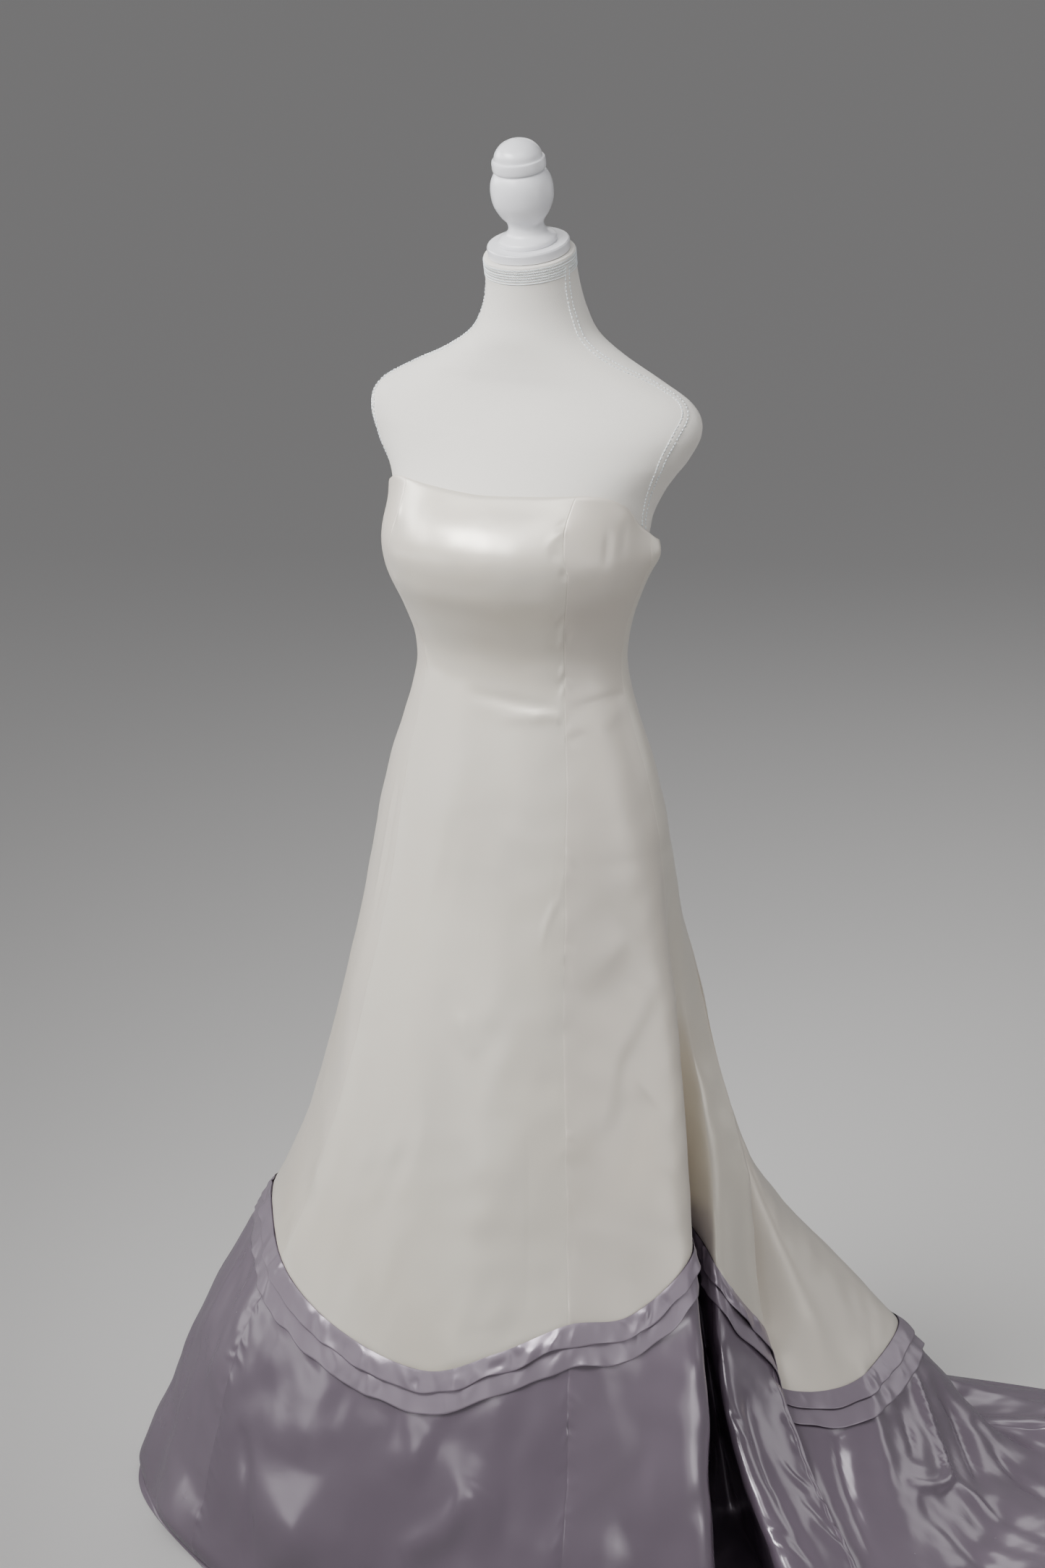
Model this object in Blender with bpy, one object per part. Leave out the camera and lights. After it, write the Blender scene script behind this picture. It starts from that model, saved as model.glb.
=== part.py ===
"""A strapless princess-seamed wedding dress with a scalloped hem border and a side-swept train.

It is worn by a limbless dress form on a pole and a round foot. The dress's front faces -Y, the
wearer's left is +X, and the origin is the middle of the foot's underside. Metres throughout.
"""

from math import radians

import bmesh
import bpy
import numpy as np
from mathutils import Matrix

CLOTH = 0.0020  # wall of a gore
SEAM_GAP = 0.0003  # between two pieces that meet
SHARPEST_BEND = 0.40  # least cosine of half a bend that the wall's thickness is kept through
TIER = 0.0010  # wall of a trim tier
TIER_WIDTH = 0.0235
TIER_SHORT = 0.02  # share of its width by which the upper tier stops short of its row
FORM_CLEAR = 0.0046  # from the dress's outer face in to the form
BARE_Z, BARE_FADE = 1.302, 0.04  # the form is its full size above this height, over this much
HIP_Z = 0.85  # above it the dress follows the figure
ABOVE_HIP_Z = 1.11  # the figure's ring that sets the skirt's slope at the hip
WAIST_Z = 1.05
BUST_Z = 1.17
CHEST_Z = 1.25
UNDERARM_LOOSE = 0.011  # how far the top edge stands off below the arms
LOOSE_DEGREES, LOOSE_SPREAD = 102, 16  # where round it that is, and how widely
LOOSE_Z, LOOSE_HEIGHT = 1.178, 0.022
UNDERARM_RADIUS = 0.15
THIGH_Z = 0.65
KNEE_Z = 0.45
SHIN_Z = 0.22
FOOT_Z = 0.030
FORM_FOOT_Z = 0.87  # underside of the form's torso
BODICE_ROWS = 7  # top edge to waist
HIP_ROWS = 3
SKIRT_ROWS = 8
BORDER_ROWS = 8  # under the trim's two tiers
NECK_LEAN = radians(14)
POLE_RADIUS = 0.0125
BASE_RADIUS = 0.155
BASE_HEIGHT = 0.018
ZIP_Z = 1.160  # middle of the zip's slider
ZIP_WIDTH = 0.0070
ZIP_HEIGHT = 0.0100
ZIP_THICK = 0.0024
PULL_AXIS = (0.00085, -0.00075)  # the pull's pivot outward and up from the slider's face
PULL_LENGTH = 0.0220

# The figure with the dress on: a ring of half_width across, front and back deep from mid_y.
# A tilted ring leans forward. Above the top edge the ring is the bare form.
RINGS = (
    # z, half_width, front, back, mid_y, tilt
    (1.4930, 0.0500, 0.0500, 0.0500, 0.0150, 14),
    (1.4620, 0.0505, 0.0510, 0.0510, 0.0215, 12),
    (1.4300, 0.0580, 0.0550, 0.0540, 0.0270, 6),
    (1.4040, 0.0740, 0.0600, 0.0560, 0.0290, 2),
    (1.3830, 0.1060, 0.0610, 0.0560, 0.0300, 0),
    (1.3610, 0.1500, 0.0610, 0.0570, 0.0290, 0),
    (1.3390, 0.1890, 0.0660, 0.0600, 0.0280, 0),
    (1.3150, 0.2020, 0.0770, 0.0650, 0.0260, 0),
    (1.2800, 0.1900, 0.0990, 0.0760, 0.0245, 0),
    (1.2400, 0.1640, 0.1270, 0.0880, 0.0165, 0),
    (1.2100, 0.1560, 0.1370, 0.0940, 0.0010, 0),
    (1.1800, 0.1560, 0.1380, 0.0960, -0.0090, 0),
    (1.1460, 0.1510, 0.1300, 0.0940, -0.0090, 0),
    (1.1040, 0.1345, 0.1100, 0.0900, -0.0060, 0),
    (1.0700, 0.1250, 0.0960, 0.0880, -0.0020, 0),
    (1.0500, 0.1215, 0.0900, 0.0880, 0.0000, 0),
    (1.0250, 0.1255, 0.0940, 0.0930, 0.0000, 0),
    (1.0000, 0.1320, 0.0980, 0.0980, 0.0000, 0),
    (0.9660, 0.1430, 0.1050, 0.1080, 0.0000, 0),
    (0.9240, 0.1570, 0.1140, 0.1200, 0.0000, 0),
    (0.8900, 0.1660, 0.1200, 0.1270, 0.0000, 0),
    (0.8500, 0.1750, 0.1270, 0.1340, 0.0000, 0),
    (0.7800, 0.1860, 0.1390, 0.1440, 0.0000, 0),
)

# Height of the bodice's top edge, by degrees from centre front.
TOP_EDGE = (
    # degrees, z
    (0, 1.2465),
    (20, 1.2485),
    (40, 1.2495),
    (52, 1.2455),
    (66, 1.2330),
    (82, 1.2100),
    (100, 1.1930),
    (130, 1.1850),
    (180, 1.1800),
)

# The seams, fold crests and valleys that hang from the figure, going round by the wearer's left.
# A row gives degrees from centre front at the top edge, bust and hip, then degrees and the radius
# from the pole at the thigh, knee, shin, floor and hem. Lift is how high the cloth stands between
# floor and hem, seam_z is the height of the border's top, and columns are the mesh's to the next.
# Radii, lift and seam_z are in millimetres.
FOLD_COLUMNS = (
    "name edge bust hip thigh thigh_r knee knee_r shin shin_r floor floor_r hem hem_r lift seam_z columns"
).split()
FOLDS = (
    ("centre_front", 0, 0, 0, 2, 180, 5, 247, 7, 335, 8, 385, 8, 405, 3, 307, 4),
    ("front_left_soft", 20, 22, 19, 22, 182, 23, 250, 22, 340, 21, 400, 21, 420, 3, 334, 4),
    ("front_left_seam", 38, 45, 37, 42, 186, 39, 255, 36, 350, 33, 415, 33, 430, 3, 364, 3),
    ("side_front_left", 56, 60, 58, 61, 191, 54, 262, 49, 355, 47, 413, 47, 430, 3, 368, 4),
    ("side_fold_crest", 74, 76, 80, 82, 207, 71, 273, 61, 372, 57, 438, 56, 453, 3, 416, 4),
    ("side_left_seam", 90, 90, 90, 97, 172, 87, 196, 76, 255, 71, 300, 65, 389, 3, 420, 4),
    ("deep_valley", 104, 104, 100, 111, 162, 124, 181, 115, 215, 104, 257, 74, 385, 3, 362, 4),
    ("first_ridge", 120, 120, 116, 118, 188, 108, 220, 77, 306, 67, 494, 67, 519, 4, 350, 4),
    ("back_left_seam", 140, 140, 140, 129, 209, 118, 253, 97, 311, 75, 540, 75, 584, 6, 258, 3),
    ("panel_tuck", 145, 145, 145, 131, 211.5, 122, 248, 104, 294, 80, 497, 80, 547, 4, 192, 3),
    ("train_face", 150, 150, 150, 134, 216, 125, 258, 110, 368, 96, 530, 88, 760, 30, 184, 4),
    ("train_ridge", 163, 163, 163, 140, 220, 137, 254, 127, 435, 124, 600, 109, 890, 12, 190, 4),
    ("centre_back", 180, 180, 180, 152, 230, 151, 262, 139, 427, 132, 577, 120, 1020, 30, 178, 4),
    ("train_back", 193, 193, 195, 168, 220, 166, 283, 154, 405, 143, 525, 133, 820, 10, 180, 4),
    ("train_far_edge", 206, 206, 206, 183, 214, 179, 275, 167, 390, 155, 480, 151, 590, 18, 200, 4),
    ("back_valley", 217, 217, 215, 198, 207, 192, 262, 180, 370, 170, 450, 161, 520, 4, 230, 3),
    ("back_right_seam", 227, 227, 226, 211, 212, 205, 277, 195, 392, 188, 463, 184, 490, 12, 270, 3),
    ("back_soft", 238, 238, 238, 226, 205, 220, 260, 212, 362, 206, 430, 204, 450, 3, 310, 3),
    ("side_back_crest", 252, 252, 252, 241, 211, 236, 275, 230, 390, 227, 462, 226, 480, 3, 345, 3),
    ("side_right_seam", 270, 270, 270, 258, 208, 254, 264, 250, 370, 248, 440, 247, 460, 3, 362, 3),
    ("side_right_crest", 285, 284, 284, 277, 212, 274, 274, 272, 392, 271, 462, 271, 480, 3, 370, 3),
    ("side_front_right", 303, 299, 300, 298, 206, 296, 268, 295, 388, 294, 455, 294, 468, 3, 393, 4),
    ("front_right_seam", 322, 315, 323, 319, 196, 321, 262, 320, 366, 321, 406, 321, 412, 3, 366, 3),
    ("front_right_soft", 339, 337, 341, 340, 185, 342, 252, 344, 345, 346, 388, 346, 403, 3, 330, 4),
)

GORES = (
    # name, first seam, last seam
    ("front", "front_right_seam", "front_left_seam"),
    ("side_front_left", "front_left_seam", "side_left_seam"),
    ("side_back_left", "side_left_seam", "back_left_seam"),
    ("centre_back_left", "back_left_seam", "centre_back"),
    ("centre_back_right", "centre_back", "back_right_seam"),
    ("side_back_right", "back_right_seam", "side_right_seam"),
    ("side_front_right", "side_right_seam", "front_right_seam"),
)

FINIAL = (
    # height above the cap, radius
    (0.0000, 0.0318),
    (0.0040, 0.0318),
    (0.0070, 0.0290),
    (0.0110, 0.0225),
    (0.0175, 0.0194),
    (0.0240, 0.0205),
    (0.0320, 0.0265),
    (0.0450, 0.0325),
    (0.0590, 0.0340),
    (0.0700, 0.0325),
    (0.0780, 0.0285),
    (0.0800, 0.0265),
    (0.0825, 0.0288),
    (0.0880, 0.0292),
    (0.0930, 0.0285),
    (0.0945, 0.0262),
    (0.1000, 0.0250),
    (0.1060, 0.0210),
    (0.1105, 0.0155),
    (0.1135, 0.0080),
)
FINIAL_HEIGHT = 0.1150
CAP_RADIUS = 0.0450
CAP_HEIGHT = 0.0115

COLOURS = {
    # name: (linear colour, roughness, metallic)
    "ivory_satin": ((0.82, 0.78, 0.70), 0.42, 0.0),
    "lavender_satin": ((0.47, 0.42, 0.56), 0.32, 0.0),
    "knit": ((0.76, 0.74, 0.68), 0.90, 0.0),
    "white_paint": ((0.88, 0.88, 0.87), 0.30, 0.0),
    "zip_metal": ((0.80, 0.79, 0.76), 0.30, 1.0),
}


def material(name):
    """The Principled material of that name, made once."""
    if name in bpy.data.materials:
        return bpy.data.materials[name]
    colour, roughness, metallic = COLOURS[name]
    made = bpy.data.materials.new(name)
    made.use_nodes = True
    shader = made.node_tree.nodes["Principled BSDF"]
    shader.inputs["Base Color"].default_value = (*colour, 1)
    shader.inputs["Roughness"].default_value = roughness
    shader.inputs["Metallic"].default_value = metallic
    return made


def put(name, points, faces, of_material):
    """Adds one smooth-shaded mesh object."""
    mesh = bpy.data.meshes.new(name)
    mesh.from_pydata([tuple(map(float, p)) for p in points], [], faces)
    mesh.materials.append(material(of_material))
    mesh.polygons.foreach_set("use_smooth", [True] * len(mesh.polygons))
    thing = bpy.data.objects.new(name, mesh)
    bpy.context.collection.objects.link(thing)
    return thing


def grid_faces(rows, columns, start, closed, flip):
    """Triangles of a grid of points, row by row. A closed grid joins its last column to its first."""
    faces = []
    for j in range(rows - 1):
        for i in range(columns if closed else columns - 1):
            k = (i + 1) % columns
            a, b = start + j * columns + i, start + j * columns + k
            c, d = start + (j + 1) * columns + k, start + (j + 1) * columns + i
            two = [(a, d, c), (a, c, b)]
            faces += [t[::-1] for t in two] if flip else two
    return faces


def wall(name, outer, inner, of_material, closed=False):
    """A solid wall between two grids of points with shape (rows, columns, 3)."""
    rows, columns = outer.shape[:2]
    size = rows * columns
    points = np.concatenate([outer.reshape(-1, 3), inner.reshape(-1, 3)])
    faces = grid_faces(rows, columns, 0, closed, False)
    faces += grid_faces(rows, columns, size, closed, True)
    steps = columns if closed else columns - 1
    for i in range(steps):
        k = (i + 1) % columns
        last = (rows - 1) * columns
        faces += [(i, k, size + i), (k, size + k, size + i)]
        faces += [(last + k, last + i, size + last + i), (last + k, size + last + i, size + last + k)]
    if not closed:
        for j in range(rows - 1):
            a, b = j * columns, (j + 1) * columns
            faces += [(b, a, size + a), (b, size + a, size + b)]
            a, b = a + columns - 1, b + columns - 1
            faces += [(a, b, size + a), (b, size + b, size + a)]
    return put(name, points, faces, of_material)


def stack(name, rings, of_material):
    """A solid through closed rings of points, top ring first, with its two ends filled flat."""
    rings = np.array(rings)
    count, around = rings.shape[:2]
    ends = [rings[0].mean(axis=0), rings[-1].mean(axis=0)]
    points = np.concatenate([rings.reshape(-1, 3), ends])
    faces = grid_faces(count, around, 0, True, False)
    top, bottom, last = count * around, count * around + 1, (count - 1) * around
    for i in range(around):
        k = (i + 1) % around
        faces += [(top, i, k), (bottom, last + k, last + i)]
    return put(name, points, faces, of_material)


def turned(name, profile, of_material, around, place=None):
    """A solid of revolution about Z from (height, radius) rows, lowest first."""
    angle = np.linspace(0, 2 * np.pi, around, endpoint=False)
    circle = np.stack([np.sin(angle), -np.cos(angle), 0 * angle], axis=1)
    rings = [circle * radius + (0, 0, height) for height, radius in reversed(profile)]
    thing = stack(name, rings, of_material)
    if place is not None:
        thing.data.transform(place)
    return thing


def figure(z, degrees):
    """Points of the dressed figure at heights z and degrees from centre front."""
    z, degrees = np.broadcast_arrays(np.asarray(z, float), np.asarray(degrees, float))
    table = np.array(RINGS)[::-1]
    half, front, back, mid, tilt = (smooth(table[:, 0], table[:, k], z) for k in range(1, 6))
    side, ahead = np.sin(np.radians(degrees)), np.cos(np.radians(degrees))
    x, y = half * side, -np.where(ahead > 0, front, back) * ahead
    lean = np.radians(tilt)
    return np.stack([x, mid + y * np.cos(lean), z + y * np.sin(lean)], axis=-1)


def smooth(at, values, wanted):
    """A cubic through the values whose slope at each is the mean of its neighbours' slopes."""
    step = np.diff(at)
    rise = np.diff(values) / step
    slope = np.concatenate([[rise[0]], (rise[:-1] + rise[1:]) / 2, [rise[-1]]])
    slope[1:-1][rise[:-1] * rise[1:] <= 0] = 0
    k = np.clip(np.searchsorted(at, wanted) - 1, 0, len(step) - 1)
    t = np.clip((wanted - at[k]) / step[k], 0, 1)
    h = step[k]
    return (
        values[k] * (1 + 2 * t) * (1 - t) ** 2
        + slope[k] * h * t * (1 - t) ** 2
        + values[k + 1] * t * t * (3 - 2 * t)
        - slope[k + 1] * h * t * t * (1 - t)
    )


def between(p0, p1, p2, p3, t):
    """The rounded path from p1 to p2 at shares t, for the points before and after them."""
    return (
        p1
        + 0.5 * t * (p2 - p0)
        + t * t * (p0 - 2.5 * p1 + 2 * p2 - 0.5 * p3)
        + t**3 * (-0.5 * p0 + 1.5 * p1 - 1.5 * p2 + 0.5 * p3)
    )


def round_the_hem(values):
    """Each fold's values carried to the columns between it and the next fold."""
    values = np.asarray(values, float)
    out = []
    for k, row in enumerate(FOLDS):
        around = [values[(k + n) % len(FOLDS)] for n in (-1, 0, 1, 2)]
        out += [between(*around, t) for t in np.arange(row[-1]) / row[-1]]
    return np.array(out)


def polar(degrees, radius, z):
    """Points at degrees from centre front, a radius from the pole."""
    turn = np.radians(degrees)
    return np.stack([radius * np.sin(turn), -radius * np.cos(turn), np.broadcast_to(z, radius.shape)], 1)


def down(levels, steps):
    """A path down each column through its level points, with steps points between two levels."""
    before, after = 2 * levels[0] - levels[1], 2 * levels[-1] - levels[-2]
    full = [before, *levels, after]
    path = []
    for k in range(1, len(full) - 2):
        for t in np.arange(steps) / steps:
            path.append(between(*full[k - 1 : k + 3], t))
    path.append(levels[-1])
    return np.array(path)


def at_lengths(path, wanted):
    """The path's points at the wanted lengths along it."""
    step = np.linalg.norm(np.diff(path, axis=0), axis=1)
    along = np.concatenate([[0], np.cumsum(step)])
    return np.stack([np.interp(wanted, along, path[:, k]) for k in range(3)], axis=-1)


def length_to(path, z):
    """How far along the path it first comes down to the height z."""
    step = np.linalg.norm(np.diff(path, axis=0), axis=1)
    along = np.concatenate([[0], np.cumsum(step)])
    k = int(np.argmax(path[:, 2] <= z))
    share = (path[k - 1, 2] - z) / max(path[k - 1, 2] - path[k, 2], 1e-9)
    return along[k - 1] + share * (along[k] - along[k - 1])


def of_folds(column):
    """A named column of the table of folds, in degrees or metres."""
    k = FOLD_COLUMNS.index(column)
    values = np.array([row[k] for row in FOLDS], float)
    return values / 1000 if column.endswith(("_r", "lift", "_z")) else values


def angles(column):
    """A column of degrees carried round to every mesh column, through directions so that 360 is 0."""
    turn = np.radians(of_folds(column))
    flat = round_the_hem(np.stack([np.sin(turn), np.cos(turn)], axis=1))
    return np.degrees(np.arctan2(flat[:, 0], flat[:, 1]))


def turned_by(start, end, share):
    """Degrees a share of the short way from start to end."""
    return start + ((end - start + 180) % 360 - 180) * share


def level(name, z):
    """The plan curve through the folds at one level, at every mesh column."""
    return round_the_hem(polar(of_folds(name), of_folds(name + "_r"), z))


def dress_grid():
    """The dress's outer face as (rows, columns, 3), and the row of the border's seam."""
    edge, bust, hip = angles("edge"), angles("bust"), angles("hip")
    edge_table = np.array(TOP_EDGE, float)
    top_z = smooth(edge_table[:, 0], edge_table[:, 1], np.abs(edge))
    seam_z, lift = round_the_hem(of_folds("seam_z")), round_the_hem(of_folds("lift"))
    floor, hem = level("floor", FOOT_Z), level("hem", CLOTH)
    middle = (floor + hem) / 2
    middle[:, 2] = CLOTH + lift
    levels = [
        figure(ABOVE_HIP_Z, hip),
        figure(HIP_Z, hip),
        level("thigh", THIGH_Z),
        level("knee", KNEE_Z),
        level("shin", SHIN_Z),
        floor,
        middle,
        hem,
    ]
    skirt = down(np.array(levels), 12)[12:]
    columns = []
    for i in range(skirt.shape[1]):
        bodice = np.linspace(top_z[i], WAIST_Z, BODICE_ROWS + 1)[:-1]
        heights = np.append(bodice, np.linspace(WAIST_Z, HIP_Z, HIP_ROWS + 1)[:-1])
        above = np.clip((heights - BUST_Z) / (CHEST_Z - BUST_Z), 0, 1)
        below = np.clip((WAIST_Z - heights) / (WAIST_Z - HIP_Z), 0, 1)
        upper = figure(heights, turned_by(turned_by(bust[i], edge[i], above), hip[i], below))
        loose = UNDERARM_LOOSE * np.exp(-(((abs(edge[i]) - LOOSE_DEGREES) / LOOSE_SPREAD) ** 2))
        loose = loose * np.exp(-(((heights - LOOSE_Z) / LOOSE_HEIGHT) ** 2))
        upper[..., :2] *= 1 + (loose / UNDERARM_RADIUS)[:, None]
        path = skirt[:, i]
        seam = length_to(path, seam_z[i])
        whole = np.linalg.norm(np.diff(path, axis=0), axis=1).sum()
        ivory = at_lengths(path, np.linspace(0, seam, SKIRT_ROWS + 1))
        tiers = seam + np.arange(1, 3) * TIER_WIDTH
        rest = np.linspace(tiers[-1], whole, BORDER_ROWS + 1)[1:]
        border = at_lengths(path, np.concatenate([tiers, rest]))
        columns.append(np.concatenate([upper, ivory, border]))
    grid = np.array(columns).transpose(1, 0, 2)
    grid[..., 2] = np.maximum(grid[..., 2], CLOTH)
    return grid, BODICE_ROWS + HIP_ROWS + SKIRT_ROWS


def unit(vectors):
    """The vectors at length 1."""
    return vectors / np.linalg.norm(vectors, axis=-1, keepdims=True)


def normals(grid):
    """Outward normals of a grid that is closed round, each longer at a bend across the columns, so
    that a wall between the grid and one moved along them is as thick there as elsewhere."""
    along = np.gradient(grid, axis=0)
    before = unit(np.cross(along, grid - np.roll(grid, 1, axis=1)))
    after = unit(np.cross(along, np.roll(grid, -1, axis=1) - grid))
    out = unit(before + after)
    return out / np.maximum((out * after).sum(axis=2, keepdims=True), SHARPEST_BEND)


def offset(grid, out, distance):
    """The grid moved along its normals, kept off the floor."""
    moved = grid + out * distance
    moved[..., 2] = np.maximum(moved[..., 2], 0)
    return moved


def pulled_in(patch, first_row=False, last_row=False):
    """A patch with its side edges, and the named end rows, drawn in by half a seam gap."""
    patch = patch.copy()

    def draw(edge, beside):
        return edge + unit(beside - edge) * SEAM_GAP / 2

    left, right = draw(patch[:, 0], patch[:, 1]), draw(patch[:, -1], patch[:, -2])
    patch[:, 0], patch[:, -1] = left, right
    if first_row:
        patch[0] = draw(patch[0], patch[1])
    if last_row:
        patch[-1] = draw(patch[-1], patch[-2])
    return patch


def make_dress():
    """Seven ivory gores, seven border gores under them and two trim tiers over the seam."""
    outer, seam = dress_grid()
    out = normals(outer)
    inner = offset(outer, out, -CLOTH)
    starts, count = {}, 0
    for row in FOLDS:
        starts[row[0]] = count
        count += row[-1]
    for name, first, last in GORES:
        a, b = starts[first], starts[last]
        picked = np.arange(a, b + 1 if b > a else b + count + 1) % count
        for kind, rows, stuff in (
            ("gore", slice(0, seam + 1), "ivory_satin"),
            ("border", slice(seam, None), "lavender_satin"),
        ):
            ends = (kind == "border", kind == "gore")
            faces = [pulled_in(side[rows][:, picked], *ends) for side in (outer, inner)]
            wall(f"{kind}_{name}", *faces, stuff)
    gap = SEAM_GAP
    lower = slice(seam + 1, seam + 3)
    near, far = offset(outer, out, gap), offset(outer, out, gap + TIER)
    wall("trim_lower", far[lower], near[lower], "lavender_satin", closed=True)
    rise = np.array([0, TIER])[:, None, None]
    upper = slice(seam, seam + 2)
    under = outer[upper] + out[upper] * (gap + rise)
    over = outer[upper] + out[upper] * (gap + rise + TIER)
    for side in (under, over):
        side[1] += (side[0] - side[1]) * TIER_SHORT
    wall("trim_upper", over, under, "lavender_satin", closed=True)


def make_form():
    """The torso with its neck, the neck cap, the finial, the pole and the foot."""
    around = np.linspace(0, 360, 36, endpoint=False)
    rings = []
    for z in [*(row[0] for row in RINGS if row[0] > FORM_FOOT_Z), FORM_FOOT_Z]:
        ring = figure(z, around)
        inset = FORM_CLEAR * np.clip((BARE_Z - z) / BARE_FADE, 0, 1)
        middle = ring.mean(axis=0)
        away = (ring - middle) * (1, 1, 0)
        rings.append(ring - unit(away) * inset)
    stack("form_torso", rings, "knit")
    top = np.array(rings[0]).mean(axis=0)
    axis = Matrix.Translation(top) @ Matrix.Rotation(NECK_LEAN, 4, "X")
    cap = (
        (SEAM_GAP, CAP_RADIUS - 0.0015),
        (SEAM_GAP + 0.0015, CAP_RADIUS),
        (CAP_HEIGHT - 0.0020, CAP_RADIUS),
        (CAP_HEIGHT, CAP_RADIUS - 0.0015),
    )
    turned("form_neck_cap", cap, "white_paint", 32, axis)
    base = CAP_HEIGHT + SEAM_GAP
    profile = [(base + h, r) for h, r in FINIAL] + [(base + FINIAL_HEIGHT, 0.0005)]
    turned("form_finial", profile, "white_paint", 24, axis)
    pole = ((BASE_HEIGHT + SEAM_GAP, POLE_RADIUS), (FORM_FOOT_Z - SEAM_GAP, POLE_RADIUS))
    turned("form_pole", pole, "white_paint", 20)
    foot = ((0, BASE_RADIUS), (BASE_HEIGHT - 0.004, BASE_RADIUS), (BASE_HEIGHT, BASE_RADIUS - 0.005))
    turned("form_foot", foot, "white_paint", 40)


def extruded(name, outline, hole, half, of_material):
    """A solid from a closed outline in Y and Z with an optional hole, half deep each way along X."""
    made = bmesh.new()
    for loop in (outline, hole) if hole else (outline,):
        corners = [made.verts.new((-half, y, z)) for y, z in loop]
        for k, corner in enumerate(corners):
            made.edges.new((corner, corners[(k + 1) % len(corners)]))
    bmesh.ops.triangle_fill(made, edges=made.edges[:], use_beauty=True)
    grown = bmesh.ops.extrude_face_region(made, geom=made.faces[:])["geom"]
    moved = [part for part in grown if isinstance(part, bmesh.types.BMVert)]
    bmesh.ops.translate(made, verts=moved, vec=(2 * half, 0, 0))
    bmesh.ops.recalc_face_normals(made, faces=made.faces[:])
    mesh = bpy.data.meshes.new(name)
    made.to_mesh(mesh)
    made.free()
    mesh.materials.append(material(of_material))
    thing = bpy.data.objects.new(name, mesh)
    bpy.context.collection.objects.link(thing)
    return thing


def make_zip():
    """The centre-back zip's slider, with a bridge on it, and the pull tab that hangs on the bridge."""
    heights = np.linspace(ZIP_Z - ZIP_HEIGHT / 2, ZIP_Z + ZIP_HEIGHT / 2, 9)
    face = figure(heights, 180)[:, 1].max() + SEAM_GAP + ZIP_THICK
    low, high = -ZIP_HEIGHT / 2, ZIP_HEIGHT / 2
    chamfer = 0.0012
    plate = (
        (-ZIP_THICK, low),
        (-chamfer / 2, low),
        (0, low + chamfer),
        (0, high - chamfer),
        (-chamfer / 2, high),
        (-ZIP_THICK, high),
    )
    slider = extruded("zip_slider", plate, None, ZIP_WIDTH / 2, "zip_metal")
    window = ((0.0000, -0.0016), (0.0017, -0.0016), (0.0017, 0.0021), (0.0000, 0.0021))
    bridge = ((-0.0006, -0.0025), (0.0026, -0.0025), (0.0026, 0.0030), (-0.0006, 0.0030))
    strap = extruded("zip_bridge", bridge, window, 0.0010, "zip_metal")
    strap.hide_render = True
    join = slider.modifiers.new("bridge", "BOOLEAN")
    join.operation, join.solver, join.object = "UNION", "EXACT", strap
    pull = pull_tab()
    for thing in (slider, strap, pull):
        thing.data.transform(Matrix.Translation((0, face, ZIP_Z)))


def pull_tab():
    """A flat tab hanging from its crossbar, which lies under the slider's bridge."""
    top, bottom = PULL_AXIS[1] + 0.00055, PULL_AXIS[1] - PULL_LENGTH
    half_outline = (
        # x, z
        (0.0024, top),
        (0.0027, top - 0.0003),
        (0.0027, -0.0060),
        (0.0034, -0.0130),
        (0.0034, bottom + 0.0018),
        (0.0022, bottom),
    )
    outline = [*half_outline, *((-x, z) for x, z in reversed(half_outline))]
    hole = ((0.0014, -0.0013), (0.0014, -0.0036), (-0.0014, -0.0036), (-0.0014, -0.0013))
    tab = extruded("zip_pull", outline, hole, 0.0005, "zip_metal")
    turn = Matrix(((0, 1, 0, 0), (1, 0, 0, PULL_AXIS[0]), (0, 0, 1, 0), (0, 0, 0, 1)))
    tab.data.transform(turn)
    tab.data.flip_normals()
    return tab


for thing in list(bpy.data.objects):
    bpy.data.objects.remove(thing)
make_dress()
make_form()
make_zip()
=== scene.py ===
"""Looks of the wedding dress and its dress form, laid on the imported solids.

The dress's surface comes from the same named sections as its solids, sampled finer. A place on it is
a fold number q, which counts the rows of FOLDS round the hem, and a share down its column.
"""

from math import radians

import bpy
import numpy as np
from mathutils import Matrix, Vector


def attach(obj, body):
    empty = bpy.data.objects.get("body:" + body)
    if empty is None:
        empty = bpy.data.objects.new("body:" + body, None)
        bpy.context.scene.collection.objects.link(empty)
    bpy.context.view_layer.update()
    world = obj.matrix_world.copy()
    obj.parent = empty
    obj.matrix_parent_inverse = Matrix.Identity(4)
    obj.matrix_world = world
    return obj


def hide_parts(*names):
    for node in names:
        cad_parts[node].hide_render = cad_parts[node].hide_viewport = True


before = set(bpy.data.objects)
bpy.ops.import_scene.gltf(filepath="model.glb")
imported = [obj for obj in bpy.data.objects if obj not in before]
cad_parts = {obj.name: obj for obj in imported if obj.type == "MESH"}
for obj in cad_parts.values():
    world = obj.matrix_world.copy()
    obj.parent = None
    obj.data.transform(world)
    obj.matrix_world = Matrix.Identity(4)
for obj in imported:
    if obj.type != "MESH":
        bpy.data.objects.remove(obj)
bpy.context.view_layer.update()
ROOT = "dress_and_form"

CLOTH = 0.0020
TIER = 0.0010
TIER_WIDTH = 0.0235
FORM_CLEAR = 0.0046
HIP_Z = 0.85
WAIST_Z = 1.05
BUST_Z = 1.17
CHEST_Z = 1.25
UNDERARM_LOOSE = 0.011
THIGH_Z = 0.65
KNEE_Z = 0.45
SHIN_Z = 0.22
FOOT_Z = 0.030
FORM_FOOT_Z = 0.87
ABOVE_HIP_Z = 1.11  # the figure's ring that sets the skirt's slope at the hip
NECK_LEAN = radians(14)
CAP_RADIUS = 0.0450
CAP_HEIGHT = 0.0115
SEAM_GAP = 0.0003
ZIP_Z = 1.160

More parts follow.
